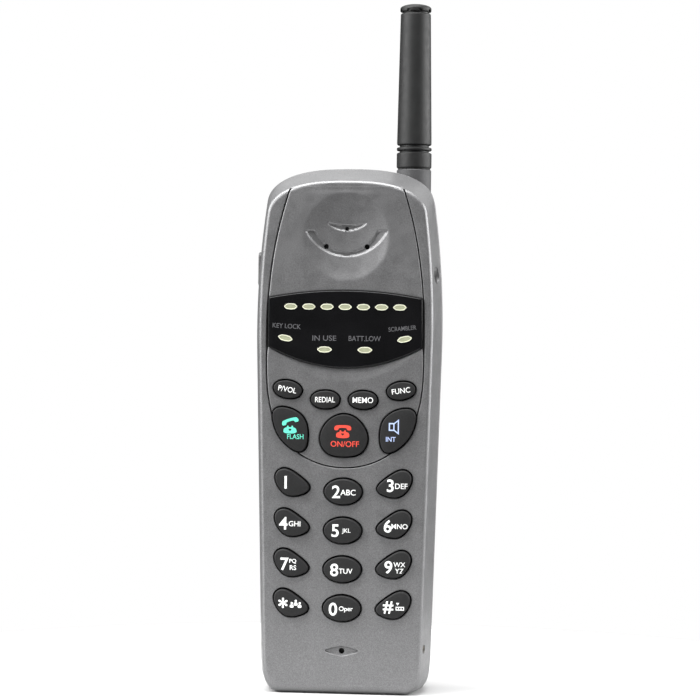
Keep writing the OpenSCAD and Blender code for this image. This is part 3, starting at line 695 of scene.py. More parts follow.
def front_block():
    """The front shell before its openings are cut."""
    depths = [0.3, 2, 4, 6, 8, FACE - FOOT_R, 9.2, 9.7, 10.2, FACE - FRONT_EDGE]
    depths += edge_depths(FACE, FRONT_EDGE, (12, 24, 36, 48, 60, 70, 80, 90))
    return lofted([(front_ring(0, SEAM), 0)] + [(front_ring(d), d) for d in depths])


def front_cavity():
    """The hollow of the front shell."""
    return lofted((front_ring(max(d, 0), WALL), d) for d in (-0.5, FACE - FOOT_R, FACE - 2.1))


def mouth_eye(grow):
    """Outline of the recess round the microphone hole."""
    return rim([[0, MOUTH_Z, 1.7], [-2.4, MOUTH_Z, 1.2], [2.4, MOUTH_Z, 1.2],
                [-4.9, MOUTH_Z, 0.5], [4.9, MOUTH_Z, 0.5]], grow)


def mouth_recess():
    """An eye-shaped recess with sloping sides."""
    steps = [(0.3, -0.3), (0.02, -0.02), (-0.1, 0.08), (-0.22, 0.3), (-0.32, 0.6), (-0.42, 0.7)]
    return lofted((mouth_eye(grow), FACE - down) for grow, down in steps)


def front_shell():
    """The front shell with the openings of the plate, keys, microphone, contacts and jack."""
    piece = made("front_shell", front_block())
    stud, deep = disc(CONTACT, 1.45), FACE - 3
    for cutters in (
        [front_cavity()],
        [flared(grown(plate_opening(PLATE_TOP_Z - 0.8), PLATE_GAP), FACE, deep, 0.35)],
        [flared(key_outline(k), FACE, deep, 0.3) for k in (*NUMBER_KEYS, "flash", "intercom")],
        [mouth_recess()],
        [straight(disc((0, MOUTH_Z), 0.9), FACE, deep)],
        [along_x(stud, 22, 32), along_x(stud, -32, -22), along_x(disc(JACK, 2.75), 26, 33)],
    ):
        cut(piece, cutters)
    finished(piece, SHELL, "handset", ["front_housing"])


# ---- face plate

# Radius of the ball that the dish is cut with.
DISH_BALL = (DISH_R ** 2 + DISH_DEPTH ** 2) / (2 * DISH_DEPTH)
# Crescents in the dish: middle height and radius of two circles, and the height of the tips.
SMILES = [(155.9, 9.5, 170.8, 22.5, 149.6), (152.9, 14.6, 150.2, 10.6, 146.6)]
SCOOP_Z, SCOOP_R, SCOOP_SLOPE = 130.1, 31.4, 0.15


def crown_depth(p):
    """Depth of the front shell's face and of its rounded edge, at each [x, z]."""
    loop = front_ring(FACE)
    over = np.where(inside(p, loop), 0, distance(p, loop))
    return FACE + 0.02 - FRONT_EDGE + np.sqrt(np.maximum(0, FRONT_EDGE ** 2 - over ** 2))


def plate_depth(p):
    """Depth of the plate's face at each [x, z]: a dished earpiece and a scoop under the lens."""
    x, z = p[:, 0], p[:, 1]
    d = np.full(len(p), PLATE_FACE)
    ramp = np.clip((z - 132) / 24, 0, 1)
    d -= 0.45 * ramp * (x / PLATE_HALF_W) ** 2
    top = np.clip((z - (PLATE_TOP_Z - 2.4)) / 1.8, 0, 1)
    d += (crown_depth(p) - d) * top * top * (3 - 2 * top)
    dish = PLATE_FACE - DISH_DEPTH + DISH_BALL - np.sqrt(
        np.maximum(0, DISH_BALL ** 2 - x ** 2 - (z - EAR_Z) ** 2))
    soft = 0.06
    d = -soft * np.logaddexp(-d / soft, -dish / soft)
    for outer_z, outer_r, inner_z, inner_r, tips in SMILES:
        outer = outer_r - np.hypot(x, z - outer_z)
        inner = np.hypot(x, z - inner_z) - inner_r
        both = -0.25 * np.logaddexp(np.logaddexp(-outer / 0.25, -inner / 0.25), (z - tips) / 0.25)
        t = np.clip(both / 0.4 + 0.3, 0, 1)
        d -= 0.55 * t * t * (3 - 2 * t)
    scoop = SCOOP_R - np.hypot(x, z - SCOOP_Z)
    low = LENS_LOW_Z + 2 + LENS_LOW_RISE * (x / PLATE_HALF_W) ** 2
    t = np.clip(scoop / 0.5, 0, 1)
    d -= np.where(z < low + 4, SCOOP_SLOPE * np.maximum(scoop, 0) * t, 0)
    return d


def face_panel():
    """The plate: a part above the lens, a part below it and a thin floor under the lens."""
    ear_holes = [disc((x, EAR_Z + z), r, 20)
                 for x, z, r in ((0, 2.5, 0.65), (-6.5, -3.2, 0.8), (6.5, -3.2, 0.8))]
    upper = slab(plate_upper(PLATE_TOP_Z + 0.5), plate_depth, FACE - 2.8, 0.38, ear_holes, 0.08, 0.34)
    lower = slab(plate_lower(), plate_depth, PLATE_BACK, 0.38, (), 0, 0.7)
    low = arc_line(lens_ends()[1] - 0.4, LENS_LOW_Z - 2, LENS_LOW_RISE)
    high = arc_line(lens_ends()[0] - 0.4, LENS_TOP_Z + 2, -LENS_TOP_DROP)[::-1]
    floor = slab(np.concatenate([low, high]), PLATE_BACK + 0.45, PLATE_BACK + 0.05, pitch=3)
    top = made("face_panel_upper", upper)
    bottom = made("face_panel_lower", lower)
    keys = ["volume", "redial", "memory", "function", "flash", "talk", "intercom"]
    cut(bottom, [flared(key_outline(k), PLATE_FACE, PLATE_BACK - 1, 0.3) for k in keys])
    backing = made("face_panel_floor", floor)
    finished(top, PLATE, "handset", ["face_plate"], 50)
    finished(bottom, PLATE, "handset", (), 50)
    finished(backing, PLATE, "handset", ())


def plate_gasket():
    """A black gasket behind the gap round the plate, open where the outer call keys pass."""
    opening = plate_opening(PLATE_TOP_Z - 3)
    middle = (opening.min(0) + opening.max(0)) / 2
    outer, inner = (middle + (opening - middle) * k for k in (1.03, 0.94))
    piece = made("plate_gasket", slab(outer, FACE - 1.25, FACE - 1.6, 0.1, [inner], 0.1, 2))
    cut(piece, [straight(key_outline(k, 0.1), FACE, FACE - 3) for k in ("flash", "intercom")])
    finished(piece, SEAL, "handset")


def lens_depth(p):
    """The lens is level, with a chin that slopes back below an arc."""
    u = p[:, 0] / lens_ends()[1]
    arc = 107.3 + 4.2 * u * u
    low = LENS_LOW_Z + LENS_LOW_RISE * u * u
    t = np.clip((arc - p[:, 1]) / np.maximum(arc - low, 0.1), 0, 1)
    return LENS_FACE - 0.03 - 0.45 * t ** 1.2


def guide_outline(at, half, turn=0.0, grow=0.0):
    """Outline of a light guide, pointed at its ends."""
    circles = [[0, 0, 0.95], [-0.45 * half, 0, 0.86], [0.45 * half, 0, 0.86],
               [-half + 0.3, 0, 0.3], [half - 0.3, 0, 0.3]]
    return rim(placed(circles, at, turn), grow, 48)


def guide_places():
    """Middle, half-length and tilt of the channel lights and the status lights."""
    low, high = size_mm("channel_light_guides")
    z = middle_mm("channel_light_guides")[2]
    channel = [((x, z), 2.05, 0) for x in np.linspace(low[0] + 2.05, high[0] - 2.05, 7)]
    status = [((x, z), 2.3, turn) for x, z, turn in ((-18.9, 112.3, -12), (-6.4, 108.8, 0),
                                                     (6.4, 108.8, 0), (18.9, 112.3, 12))]
    return channel, status


def light_guides(name, places, node):
    """Shallow domes in a darker green that paints their shade, each inside a raised border whose pale cream
    is partly a painted highlight.
    """
    domes, borders = Shape(), Shape()
    for at, half, turn in places:
        outer, inner = guide_outline(at, half, turn), guide_outline(at, half, turn, -0.24)

        def dome(p, inner=inner):
            return GUIDE_FACE - 0.22 + 0.14 * np.clip(distance(p, inner) / 0.5, 0, 1)
        domes.merge(slab(guide_outline(at, half, turn, -0.1), dome, FACE - 4.4, pitch=0.3))
        borders.merge(slab(outer, GUIDE_FACE, GUIDE_FACE - 0.6, 0.08, [inner], 0.07, 0.4))
    finished(made(name + "_rims", borders), CREAM_AND_HIGHLIGHT, "handset")
    return finished(made(name, domes), GUIDE_TINT_AND_SHADE, "handset", [node])


def lens_band():
    """The lens, with the light guides in its holes."""
    channel, status = guide_places()
    holes = [guide_outline(at, half, turn, 0.06) for at, half, turn in channel + status]
    shape = slab(lens_outline(), lens_depth, FACE - 0.5, 0.3, holes, 0.06, 1.1)
    light_guides("channel_lights", channel, "channel_light_guides")
    light_guides("status_lights", status, "status_light_guides")
    return finished(made("lens_band", shape), LENS, "handset", ["display_lens"], 50)


# ---- keys


def key_cap(name):
    """A key: a crowned top with a soft edge, a shaft and a flange behind the shell."""
    low, high = size_mm("key_" + name)
    top, flange_back = -low[1], -high[1]
    flange_front = flange_back + 0.8
    soft = 0.55 if name in NUMBER_KEYS else 0.45
    inner = key_outline(name, -KEY_GAP - soft)

    def crown(p):
        d = distance(p, inner)
        return top - 0.035 - 0.16 * (1 - np.clip(d / 2.6, 0, 1)) ** 2
    shape = slab(key_outline(name, -KEY_GAP), crown, flange_front - 0.2, soft, pitch=0.5, steps=6)
    shape.merge(straight(key_outline(name, 0.5), flange_front, flange_back))
    piece = made("key_" + name + "_cap", shape)
    return finished(piece, RUBBER, "key_" + name, ["key_" + name], 50)


def key_collar(name):
    """The silicone collar under a key."""
    low, high = size_mm("keypad_domes")
    base, top = -high[1], -low[1]
    section = [(-0.6, base), (-0.6, base + 0.25), (-0.95, top - 0.3), (-0.95, top), (-1.35, top),
               (-1.35, top - 0.3), (-1.05, base + 0.25), (-1.05, base)]
    shape = Shape()
    shape.hoop([shape.ring(key_outline(name, grow), depth) for grow, depth in section])
    piece = made("key_" + name + "_collar", shape)
    finished(piece, SILICONE, "handset", ["keypad_domes"])
    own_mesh(piece)


# ---- legends


def word(text, at, height, width=None, turn=0.0):
    """A printed word, its letters' middle at a place: (points, faces)."""
    curve = bpy.data.curves.new("word", "FONT")
    curve.font = bpy.data.fonts.load("<builtin>", check_existing=True)
    curve.body, curve.offset, curve.resolution_u = text, 0.016 if len(text) == 1 else 0.008, 5
    letters = linked("word", curve)
    mesh = mesh_now(letters)
    bpy.data.objects.remove(letters)
    bpy.data.curves.remove(curve)
    points = np.array([v.co[:2] for v in mesh.vertices])
    low, high = points.min(0), points.max(0)
    size = high - low
    wide = width or height / size[1] * size[0]
    points = (points - (low + high) / 2) * [wide / size[0], height / size[1]]
    bm = bmesh.new()
    bm.from_mesh(mesh)
    bpy.data.meshes.remove(mesh)
    for v, (x, z) in zip(bm.verts, points):
        v.co = (x, z, 0)
    for _ in range(4):
        bmesh.ops.triangulate(bm, faces=bm.faces)
        long = [e for e in bm.edges if e.calc_length() > 0.7]
        bmesh.ops.subdivide_edges(bm, edges=long, cuts=1)
    bmesh.ops.triangulate(bm, faces=bm.faces)
    bm.verts.index_update()
    points = [v.co[:2] for v in bm.verts]
    faces = [tuple(v.index for v in f.verts) for f in bm.faces]
    bm.free()
    return moved(points, at, turn), faces


def moved(points, at, turn=0.0):
    """Points turned about the origin, in degrees, and then moved."""
    c, s = cos(turn), sin(turn)
    return np.array(points, float) @ np.array([[c, s], [-s, c]]) + at


def soft(points, times=2):
    """A closed outline with its corners cut off again and again."""
    loop = np.array(points, float)
    for _ in range(times):
        after = np.roll(loop, -1, 0)
        loop = np.stack([0.75 * loop + 0.25 * after, 0.25 * loop + 0.75 * after], 1).reshape(-1, 2)
    return loop


def patch(outline, at, turn=0.0, holes=()):
    """A filled outline at a place: (points, faces)."""
    points, faces, _ = filled([moved(loop, at, turn) for loop in (outline, *holes)], 0.7)
    return points, [tuple(int(i) for i in f) for f in faces]


EARPIECE = [(-2.7, -0.75), (-2.7, 0.2), (-2.1, 0.9), (2.1, 0.9), (2.7, 0.2), (2.7, -0.75), (1.4, -0.75),
            (1.3, 0.05), (-1.3, 0.05), (-1.4, -0.75)]
TELEPHONE = [(-2.1, -1.5), (2.1, -1.5), (2.1, -0.1), (1.5, 0.35), (1.0, 0.4), (0.95, 1.0), (0.5, 1.0),
             (0.45, 0.5), (-0.45, 0.5), (-0.5, 1.0), (-0.95, 1.0), (-1.0, 0.4), (-1.5, 0.35), (-2.1, -0.1)]
DIAL = [(-0.55, -0.15), (0, -0.85), (0.55, -0.15), (0.3, 0.05), (0, -0.05), (-0.3, 0.05)]
SPEAKER = [(-1.6, -1.25), (0.1, -1.25), (1.6, -2.45), (1.6, 2.45), (0.1, 1.25), (-1.6, 1.25)]
SPEAKER_HOLES = [[(-1.2, -0.85), (-0.15, -0.85), (-0.15, 0.85), (-1.2, 0.85)],
                 [(0.2, -0.9), (1.25, -1.75), (1.25, 1.75), (0.2, 0.9)]]
SHOULDERS = [(-0.6, -0.5), (0.6, -0.5), (0.6, 0.2), (0.35, 0.5), (-0.35, 0.5), (-0.6, 0.2)]


def telephone(at, lift, turn):
    """A desk telephone with its handset on or above the cradle."""
    return [patch(soft(TELEPHONE), (at[0], at[1] - 0.45), 0, [soft(DIAL)]),
            patch(soft(EARPIECE), (at[0], at[1] + 1.15 + lift), turn)]


def people(at):
    """Three people side by side, the middle one raised."""
    parts = []
    for x, z in ((-1.25, -0.45), (0, 0.25), (1.25, -0.45)):
        parts.append(patch(disc((0, 0.85), 0.36, 20), (at[0] + x, at[1] + z)))
        parts.append(patch(soft(SHOULDERS, 1), (at[0] + x, at[1] + z - 0.1)))
    return parts


def boxes(at):
    """A row of three cells with a pointer above it."""
    cells = [rounded_box((0.8 * k - 0.27, -0.29), (0.8 * k + 0.27, 0.29), 0.05) for k in (-1, 0, 1)]
    return [patch(rounded_box((-1.32, -0.58), (1.32, 0.58), 0.1), at, 0, cells),
            patch([(-0.5, 0.45), (0, -0.4), (0.5, 0.45)], (at[0] - 0.7, at[1] + 1.35))]


LEGENDS = {
    "1": [("1", -1.97, 0, 4.0)],
    "2": [("2", -2.1, 0, 4.0), ("ABC", 1.67, -0.17, 1.8)],
    "3": [("3", -1.17, -0.53, 4.0), ("DEF", 2.3, -0.63, 1.67)],
    "4": [("4", -2.57, -0.23, 4.0), ("GHI", 1.03, -0.33, 1.65)],
    "5": [("5", -2.25, 0, 4.0), ("JKL", 1.27, -0.1, 1.7)],
    "6": [("6", -1.84, -0.6, 4.0), ("MNO", 1.9, -0.6, 1.6)],
    "7": [("7", -2.0, -0.4, 4.0), ("PQ", 0.6, 0.5, 1.5), ("RS", 0.7, -1.5, 1.5)],
    "8": [("8", -2.4, -0.1, 4.0), ("TUV", 1.2, -0.43, 1.6)],
    "9": [("9", -1.47, -0.8, 4.0), ("WX", 2.0, 0.1, 1.5), ("YZ", 2.0, -1.9, 1.5)],
    "star": [("*", -2.36, 0, 3.3)],
    "0": [("0", -2.65, -0.2, 4.1), ("Oper", 1.45, -0.2, 1.9, 4.4)],
    "hash": [("#", -1.4, -0.7, 3.9)],
    "volume": [("P/VOL", 0, 0, 1.7, 5.8, -10)],
    "redial": [("REDIAL", 0, 0, 1.7, 6.3)],
    "memory": [("MEMO", 0, 0, 1.8, 6.5)],
    "function": [("FUNC", 0, 0, 1.7, 5.8, 8)],
}


def printed(name, parts, target, material, body):
    """Flat parts laid on a piece as a film of ink, 0.03 mm proud of it."""
    mesh = target.data
    surface = BVHTree.FromPolygons([v.co for v in mesh.vertices],
                                   [tuple(f.vertices) for f in mesh.polygons])
    shape = Shape()
    for points, faces in parts:
        hits = [surface.ray_cast(Vector((x * MM, -1, z * MM)), Vector((0, 1, 0)))[0] for x, z in points]
        depth = np.array([-hit.y / MM for hit in hits])
        top, low = shape.ring(points, depth + 0.03), shape.ring(points, depth - 0.06)
        edges = set()
        for f in faces:
            shape.faces += [tuple(top[i] for i in f), tuple(low[i] for i in f[::-1])]
            edges |= {(f[i - 1], f[i]) for i in range(len(f))}
        shape.faces += [(top[a], top[b], low[b], low[a]) for a, b in sorted(edges) if (b, a) not in edges]
    return finished(made(name, shape), material, body)


def key_legends(caps):
    """Prints every key's legend on its cap."""
    for name, cap in caps.items():
        x, _, z = middle_mm("key_" + name)
        ink, parts = INK, []
        for text, dx, dz, height, *rest in LEGENDS.get(name, ()):
            parts.append(word(text, (x + dx, z + dz), height, *rest))
        if name == "star":
            parts += people((x + 1.7, z - 0.4))
        elif name == "hash":
            parts += boxes((x + 2.3, z - 1.0))
        elif name == "flash":
            ink, parts = INK_GREEN, telephone((-17.0, 84.1), 0.75, 17)
            parts.append(word("FLASH", (-15.3, 81.2), 1.55, 5.2))
        elif name == "talk":
            ink, parts = INK_RED, telephone((-0.25, 82.9), 0.1, 0)
            parts.append(word("ON/OFF", (0.45, 79.1), 1.8, 9.0))
        elif name == "intercom":
            ink = INK_BLUE
            parts = [patch(SPEAKER, (15.9, 84.7), 0, SPEAKER_HOLES), word("INT", (15.0, 80.8), 1.5, 3.1)]
        printed("key_" + name + "_legend", parts, cap, ink, "key_" + name)


def lens_labels(lens):
    """Prints the words beside the status lights."""
    parts = [word("KEY LOCK", (-18.5, 116.1), 1.5, 9.0, -3), word("IN USE", (-6.5, 112.4), 1.65, 7.6),
             word("BATT.LOW", (6.3, 112.4), 1.65, 10.2), word("SCRAMBLER", (18.2, 115.7), 1.4, 8.8, 5)]
    printed("lens_labels", parts, lens, INK_DIM, "handset")


# ---- rear shell

COVER_HALF_W = 20.0
COVER_LEDGE = BACK - 1.9
BOSS_LOW_Z, BOSS_R = 157.2, 5.55
NOTCH_R, NOTCH_DEPTH = 12, 1.2
COVER_TOP = size_mm("battery_cover")[1][2]
COVER_AXIS = (BACK - 0.9, 8.9)
SCREWS = [(24.0, 104.5), (-24.0, 104.5), (11.0, 5.0), (-11.0, 5.0)]
ANTENNA = (19.7, 6.0)
BOSS_TOP = BODY_H + 0.2
SLEEVE_LOW, SLEEVE_TOP = (size_mm("antenna_sleeve")[k][2] for k in (0, 1))


def rear_ring(depth, inset=0.0):
    """Shell outline of the rear shell at a distance behind the parting plane."""
    over = edge_step(depth - BACK + REAR_EDGE, REAR_EDGE)
    draft = REAR_DRAFT * min(depth, BACK - REAR_EDGE) / (BACK - REAR_EDGE)
    return shell_outline(draft + over + inset, over + inset, draft + over + inset)


def rear_block():
    """The rear shell before its openings are cut."""
    depths = [0.3, 2, 4, 6, 8, BACK - REAR_EDGE]
    depths += edge_depths(BACK, REAR_EDGE, range(9, 91, 9))
    return lofted([(rear_ring(0, SEAM), 0)] + [(rear_ring(d), -d) for d in depths])


def rear_cavity():
    """The hollow of the rear shell."""
    sections = [(rear_ring(max(d, 0), WALL), -d) for d in (-0.5, BACK - REAR_EDGE)]
    return lofted(sections + [(shell_outline(WALL + 3.9, WALL + 3.4, WALL + 3.9), -(BACK - WALL))])


def behind(outline, near, far, flare):
    """Cutter from the back face, at distance far behind the parting plane, in to near."""
    return flared(outline, far, near, flare, 4, 0.2, -1)


def thumb_notch():
    """The ball that the notch at the top edge of the battery cover is cut with."""
    ball = [(NOTCH_R * sin(t), COVER_TOP + 1.2 - NOTCH_R * cos(t)) for t in np.linspace(0.2, 179.8, 60)]
    return turned(ball, (0, BACK - NOTCH_DEPTH + NOTCH_R), 160)


def cover_outline(clear):
    """Outline of the battery cover, or of its recess, grown by the clearance."""
    w = COVER_HALF_W + clear
    return rounded_box((-w, COVER_AXIS[1] - 0.9 - clear), (w, COVER_TOP + clear), 1.6)


def rear_shell():
    """The rear shell with its battery tub, screw posts, antenna boss and openings."""
    piece = made("rear_shell", rear_block())
    cut(piece, [rear_cavity()])
    tub = rounded_box((-21.4, 8.8), (21.4, 83.8), 1)
    cut(piece, [straight(tub, -1.1, -(BACK - WALL + 0.2))], "UNION")
    for x, z in SCREWS:
        cut(piece, [straight(disc((x, z), 3.0), -0.05, -12)], "UNION")
    boss = [(0.01, BOSS_LOW_Z), (BOSS_R, BOSS_LOW_Z), (BOSS_R, BOSS_TOP - 0.25), (5.3, BOSS_TOP),
            (0.01, BOSS_TOP)]
    cut(piece, [turned(boss, ANTENNA)], "UNION")
    w = COVER_HALF_W + 0.2
    swing = rounded_box((-w, COVER_AXIS[1] - 1.1), (w, 12), 0.3)
    pry = rounded_box((0.1, 10.6), (1.2, 17.6), 0.5)
    slots = [rounded_box((-13, 138 + 2.2 * k - 0.45), (-3, 138 + 2.2 * k + 0.45), 0.44)
             for k in range(-2, 3)]
    for cutters in (
        [straight(rounded_box((-18.5, 10), (18.5, 82), 1), -2.3, -(BACK + 1))],
        [behind(cover_outline(0.2), COVER_LEDGE, BACK, 0.25)],
        [behind(swing, COVER_LEDGE, BACK, 0.25)],
        [turned([(0.01, 156), (3.8, 156), (3.8, 180), (0.01, 180)], ANTENNA)],
        [straight(disc(at, 1.15), 1, -16) for at in SCREWS],
        [behind(disc(at, 2.2, 48), 7.5, BACK - 0.15, 0.3) for at in SCREWS],
        [behind(slot, 10, BACK, 0.2) for slot in slots],
        [along_x(side_key_outline(0), -31, -26)],
        [along_x(pry, -30, -side_at(14.0) + 0.9)],
        [thumb_notch()],
    ):
        cut(piece, cutters)
    finished(piece, SHELL, "handset", ["rear_housing"])
    # The antenna boss's faces take the darker copy of the shell paint: painted shade.
    piece.data.materials.append(BOSS_SHADE_PAINT)
    for face in piece.data.polygons:
        x, y, z = (c / MM for c in face.center)
        if z > BOSS_LOW_Z and math.hypot(x - ANTENNA[0], y - ANTENNA[1]) < BOSS_R + 0.15:
            face.material_index = 1


def side_key_outline(grow):
    """Outline of the side key as [y, z] points."""
    return rim([[0, -3.9, 1.9], [0, 3.9, 1.9]], grow, 64) + middle_mm("side_key")[1:]


def battery_door():
    """The hinged cover: rounded corners, a thumb notch, grip ridges and its hinge barrel."""
    outline, edge = cover_outline(0), 0.35
    sections = [(outline, -(BACK - 1.8))]
    sections += [(grown(outline, -edge * (1 - cos(t))), -(BACK - edge + edge * sin(t)))
                 for t in (0, 22, 45, 68, 90)]
    piece = made("battery_door", lofted(sections))
    cut(piece, [thumb_notch()])
    cut(piece, [along_x(rounded_box((BACK - 2.5, 7), (BACK + 0.5, COVER_AXIS[1]), 0.01), -21.5, 21.5)])
    ridges = []
    for k in range(6):
        w, z = 7 - 0.5 * k, COVER_TOP - 1.5 * k
        ridges.append(rounded_box((-w, z - 9.2), (w, z - 8.6), 0.29))
    cut(piece, [behind(r, BACK - 0.45, BACK, 0.15) for r in ridges])
    pins = Shape()
    for reach, r in ((21.2, 0.7), (19.9, 0.88)):
        pins.merge(along_x(disc(COVER_AXIS, r, 40), -reach, reach))
    finished(made("battery_door_pin", pins), SHELL, "battery_cover", ())
    finished(piece, SHELL, "battery_cover", ["battery_cover"])


# ---- side fittings, screws

DOME_ANGLES = (20, 40, 60, 75, 88)


def side_key_cap():
    """An oval button with a soft edge and three grip lines."""
    low, high = size_mm("side_key")
    shape = Shape()
    face, soft = low[0], 0.5
    ring_at = [(high[0], 0.6), (high[0] - 0.8, 0.6), (high[0] - 0.8, -0.25), (face + soft, -0.25)]
    ring_at += [(face + soft - soft * sin(t), -0.25 - soft * (1 - cos(t))) for t in (20, 40, 60, 80, 90)]
    shape.stack([shape.side(side_key_outline(grow), x) for x, grow in ring_at])
    piece = made("side_key_cap", shape)
    y, z = side_key_outline(0).mean(0)
    lines = [along_x(rounded_box((y - 1.1, z + 1.6 * k - 0.22), (y + 1.1, z + 1.6 * k + 0.22), 0.21),
                     face - 0.5, face + 0.25) for k in (-1, 0, 1)]
    cut(piece, lines)
    finished(piece, SIDE, "side_key", ["side_key"])


def jack_ring():
    """The ring round the headset socket, with a soft outer edge."""
    low, high = size_mm("jack_surround")
    middle = middle_mm("jack_surround")[1:]
    shape = Shape()
    section = [(2.7, low[0]), (2.7, high[0] - 0.3), (2.62, high[0] - 0.1), (2.5, high[0]),
               (2.4, high[0]), (2.3, high[0] - 0.12), (2.27, low[0])]
    shape.hoop([shape.side(disc(middle, r, 64), x) for r, x in section])
    finished(made("jack_ring", shape), SIDE, "handset", ["jack_surround"])


def contact_studs():
    """Two domed charging contacts."""
    end, middle = size_mm("charge_contacts")[1][0] - 0.5, middle_mm("charge_contacts")[1:]
    section = [(1.7, 23.0), (1.7, 23.6), (1.3, 23.65), (1.3, end)]
    section += [(1.3 * cos(t), end + 0.5 * sin(t)) for t in DOME_ANGLES]
    shape = Shape()
    for side in (-1, 1):
        shape.stack([shape.side(disc(middle, r, 40), side * x) for r, x in section])
    finished(made("contact_studs", shape), GOLD, "handset", ["charge_contacts"])


def cross_screws():
    """Case screws with a domed head and a cross recess."""
    section = [(0.98, 6.2 - 12.4), (0.98, 7.5), (1.9, 7.5), (1.9, 8.3)]
    section += [(1.9 * cos(t), 8.3 + 0.6 * sin(t)) for t in DOME_ANGLES]
    shape = Shape()
    for at in SCREWS:
        shape.merge(lofted((disc(at, r, 40), -d) for r, d in section))
    piece = made("cross_screws", shape)
    for w, h in ((1.15, 0.22), (0.22, 1.15)):
        slots = [rounded_box((x - w, z - h), (x + w, z + h), 0.1) for x, z in SCREWS]
        cut(piece, [straight(slot, -8.2, -10) for slot in slots])
    finished(piece, DARK_STEEL, "handset", ["case_screws"])


# ---- antenna


def sleeve_section():
    """Half-section of the sleeve: a collar, two grooves with a ring, and a slim taper."""
    collar = [(4.25, 0), (5.2, 0), (5.5, 0.12), (5.6, 0.45), (5.6, 4.5), (5.5, 4.8), (5.15, 4.95),
              (4.75, 5.0), (4.7, 5.08), (4.7, 5.45), (4.8, 5.55), (5.35, 5.6), (5.56, 5.75), (5.6, 6.0),
              (5.6, 6.25), (5.56, 6.45), (5.35, 6.6), (4.8, 6.68), (4.7, 6.75), (4.7, 7.25),
              (4.8, 7.35), (5.25, 7.4), (5.47, 7.55), (5.55, 7.9)]
    length = SLEEVE_TOP - SLEEVE_LOW
    taper = [(5.55 + (4.85 - 5.55) * k / 12, 7.9 + (length - 0.5 - 7.9) * k / 12) for k in range(1, 13)]
    top = [(4.8, length - 0.2), (4.6, length), (3.0, length), (3.0, 9), (2.85, 9), (2.85, 2.05), (4.25, 2.05)]
    return [(r, SLEEVE_LOW + z) for r, z in collar + taper + top]


def cap_section():
    """Half-section of the cap: a plug, a thin neck and a flat button with a soft edge."""
    z0 = SLEEVE_TOP - 2
    neck = [(0.01, 0), (2.95, 0), (2.95, 2.02), (4.2, 2.02), (4.2, 2.45), (4.75, 2.55), (4.97, 2.75),
            (5.0, 3.0), (5.0, 3.6)]
    top = [(4.7 * cos(t) + 0.3 * (1 - t / 90), 3.7 + 1.4 * sin(t)) for t in range(6, 88, 9)]
    return [(r, z0 + z) for r, z in neck + top + [(0.01, 5.1)]]


def antenna():
    """The antenna's grip, its notched button and the washer under it."""
    sleeve = made("antenna_grip", turned(sleeve_section(), ANTENNA, 128))
    finished(sleeve, SLEEVE, "antenna", ["antenna_sleeve"], 40)
    cap = made("antenna_button", turned(cap_section(), ANTENNA, 128))
    notches = []
    for k in range(8):
        spin = Matrix.Rotation(math.radians(45 * k + 22.5), 3, "Z")
        notch = Shape()
        for z in (SLEEVE_TOP + 0.5, SLEEVE_TOP + 1.3):
            square = [(4.45, -0.6, z), (6.5, -0.6, z), (6.5, 0.6, z), (4.45, 0.6, z)]
            notch.add([Vector((ANTENNA[0], ANTENNA[1], 0)) + spin @ Vector(p) for p in square])
        notch.faces = [(0, 1, 2, 3), (4, 5, 6, 7), (0, 1, 5, 4), (1, 2, 6, 5), (2, 3, 7, 6), (3, 0, 4, 7)]
        notches.append(notch)
    cut(cap, notches)
    finished(cap, SLEEVE, "antenna", ["antenna_cap"], 40)
    low, high = size_mm("antenna_seal")
    seal = [(3.1, low[2]), (5.1, low[2]), (5.2, low[2] + 0.15), (5.2, high[2] - 0.15), (5.1, high[2]),
            (3.1, high[2])]
    washer = made("antenna_washer", turned(seal, ANTENNA))
    finished(washer, SEAL, "antenna_lift", ["antenna_seal"])


# ---- stage


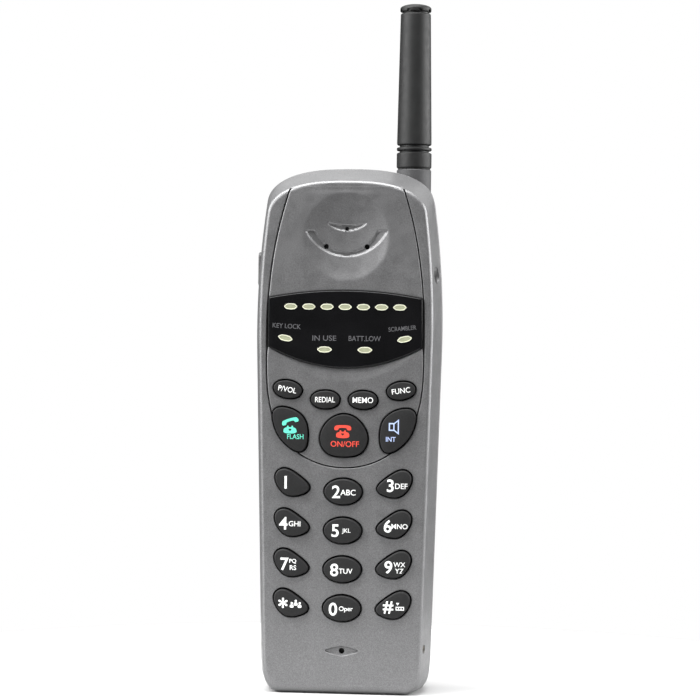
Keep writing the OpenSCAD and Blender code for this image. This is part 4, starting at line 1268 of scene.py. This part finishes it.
def camera():
    """The photograph's view: level, a little from the right, from about 0.82 m."""
    azimuth, roll, reach = math.radians(6.0), math.radians(0.7), 0.817
    target = Vector((1.6, -FACE, 108.75)) * MM
    back = Vector((math.sin(azimuth), -math.cos(azimuth), 0))
    data = bpy.data.cameras.new("camera")
    data.sensor_width = 36
    data.lens = 18 / math.tan(math.radians(15.4 / 2))
    data.clip_start, data.clip_end = 0.01, 20
    eye = linked("camera", data)
    eye.location = target + back * reach
    turn = (-back).to_track_quat("-Z", "Y").to_matrix() @ Matrix.Rotation(roll, 3, "Z")
    eye.rotation_euler = turn.to_euler()
    bpy.context.scene.camera = eye


def softbox(name, at, size, power, aim=(0, 0, 0.1)):
    """A rectangular light that faces a point."""
    data = bpy.data.lights.new(name, "AREA")
    data.shape = "RECTANGLE"
    data.size, data.size_y = size
    data.energy = power
    lamp = linked(name, data)
    lamp.location = at
    lamp.rotation_euler = (Vector(aim) - Vector(at)).to_track_quat("-Z", "Z").to_euler()


def studio():
    """A white floor, a white surround that lights the object only a little, and softboxes."""
    scene = bpy.context.scene
    scene.view_settings.view_transform = "Standard"
    world = bpy.data.worlds.new("studio")
    world.use_nodes = True
    scene.world = world
    tree, links = world.node_tree, world.node_tree.links
    back = tree.nodes["Background"]
    path = node_of(tree, "LightPath")
    level = node_of(tree, "MapRange", To_Min=0.1, To_Max=1.0)
    links.new(path.outputs["Is Camera Ray"], level.inputs["Value"])
    links.new(level.outputs["Result"], back.inputs["Strength"])
    back.inputs["Color"].default_value = (1, 1, 1, 1)
    shape = Shape()
    shape.cap(shape.add([(x, y, -0.05) for x, y in disc((0, 0), 0.2 / MM, 96)]))
    floor = made("floor", shape)
    floor.data.materials.append(finish_of("floor_white", (0.5, 0.5, 0.5), 0.9, 0, (8, 0.05), (60, 0.01)))
    softbox("top_light", (-0.3, -0.4, 1.5), (2.0, 1.0), 72, (0, 0.0, 0))
    softbox("rear_light", (0.1, 0.9, 1.4), (2.6, 1.6), 12, (0, 0.1, 0))
    softbox("left_light", (-1.0, -0.45, 0.5), (0.7, 1.2), 19)
    softbox("right_light", (1.0, 0.1, 0.4), (0.7, 1.2), 19)


# ---- all together

finish_cad_nodes()
front_shell()
face_panel()
plate_gasket()
lens_labels(lens_band())
key_legends({key: key_cap(key) for key in KEY_HOLES})
for key in KEY_HOLES:
    key_collar(key)
rear_shell()
battery_door()
side_key_cap()
jack_ring()
contact_studs()
cross_screws()
antenna()
camera()
studio()
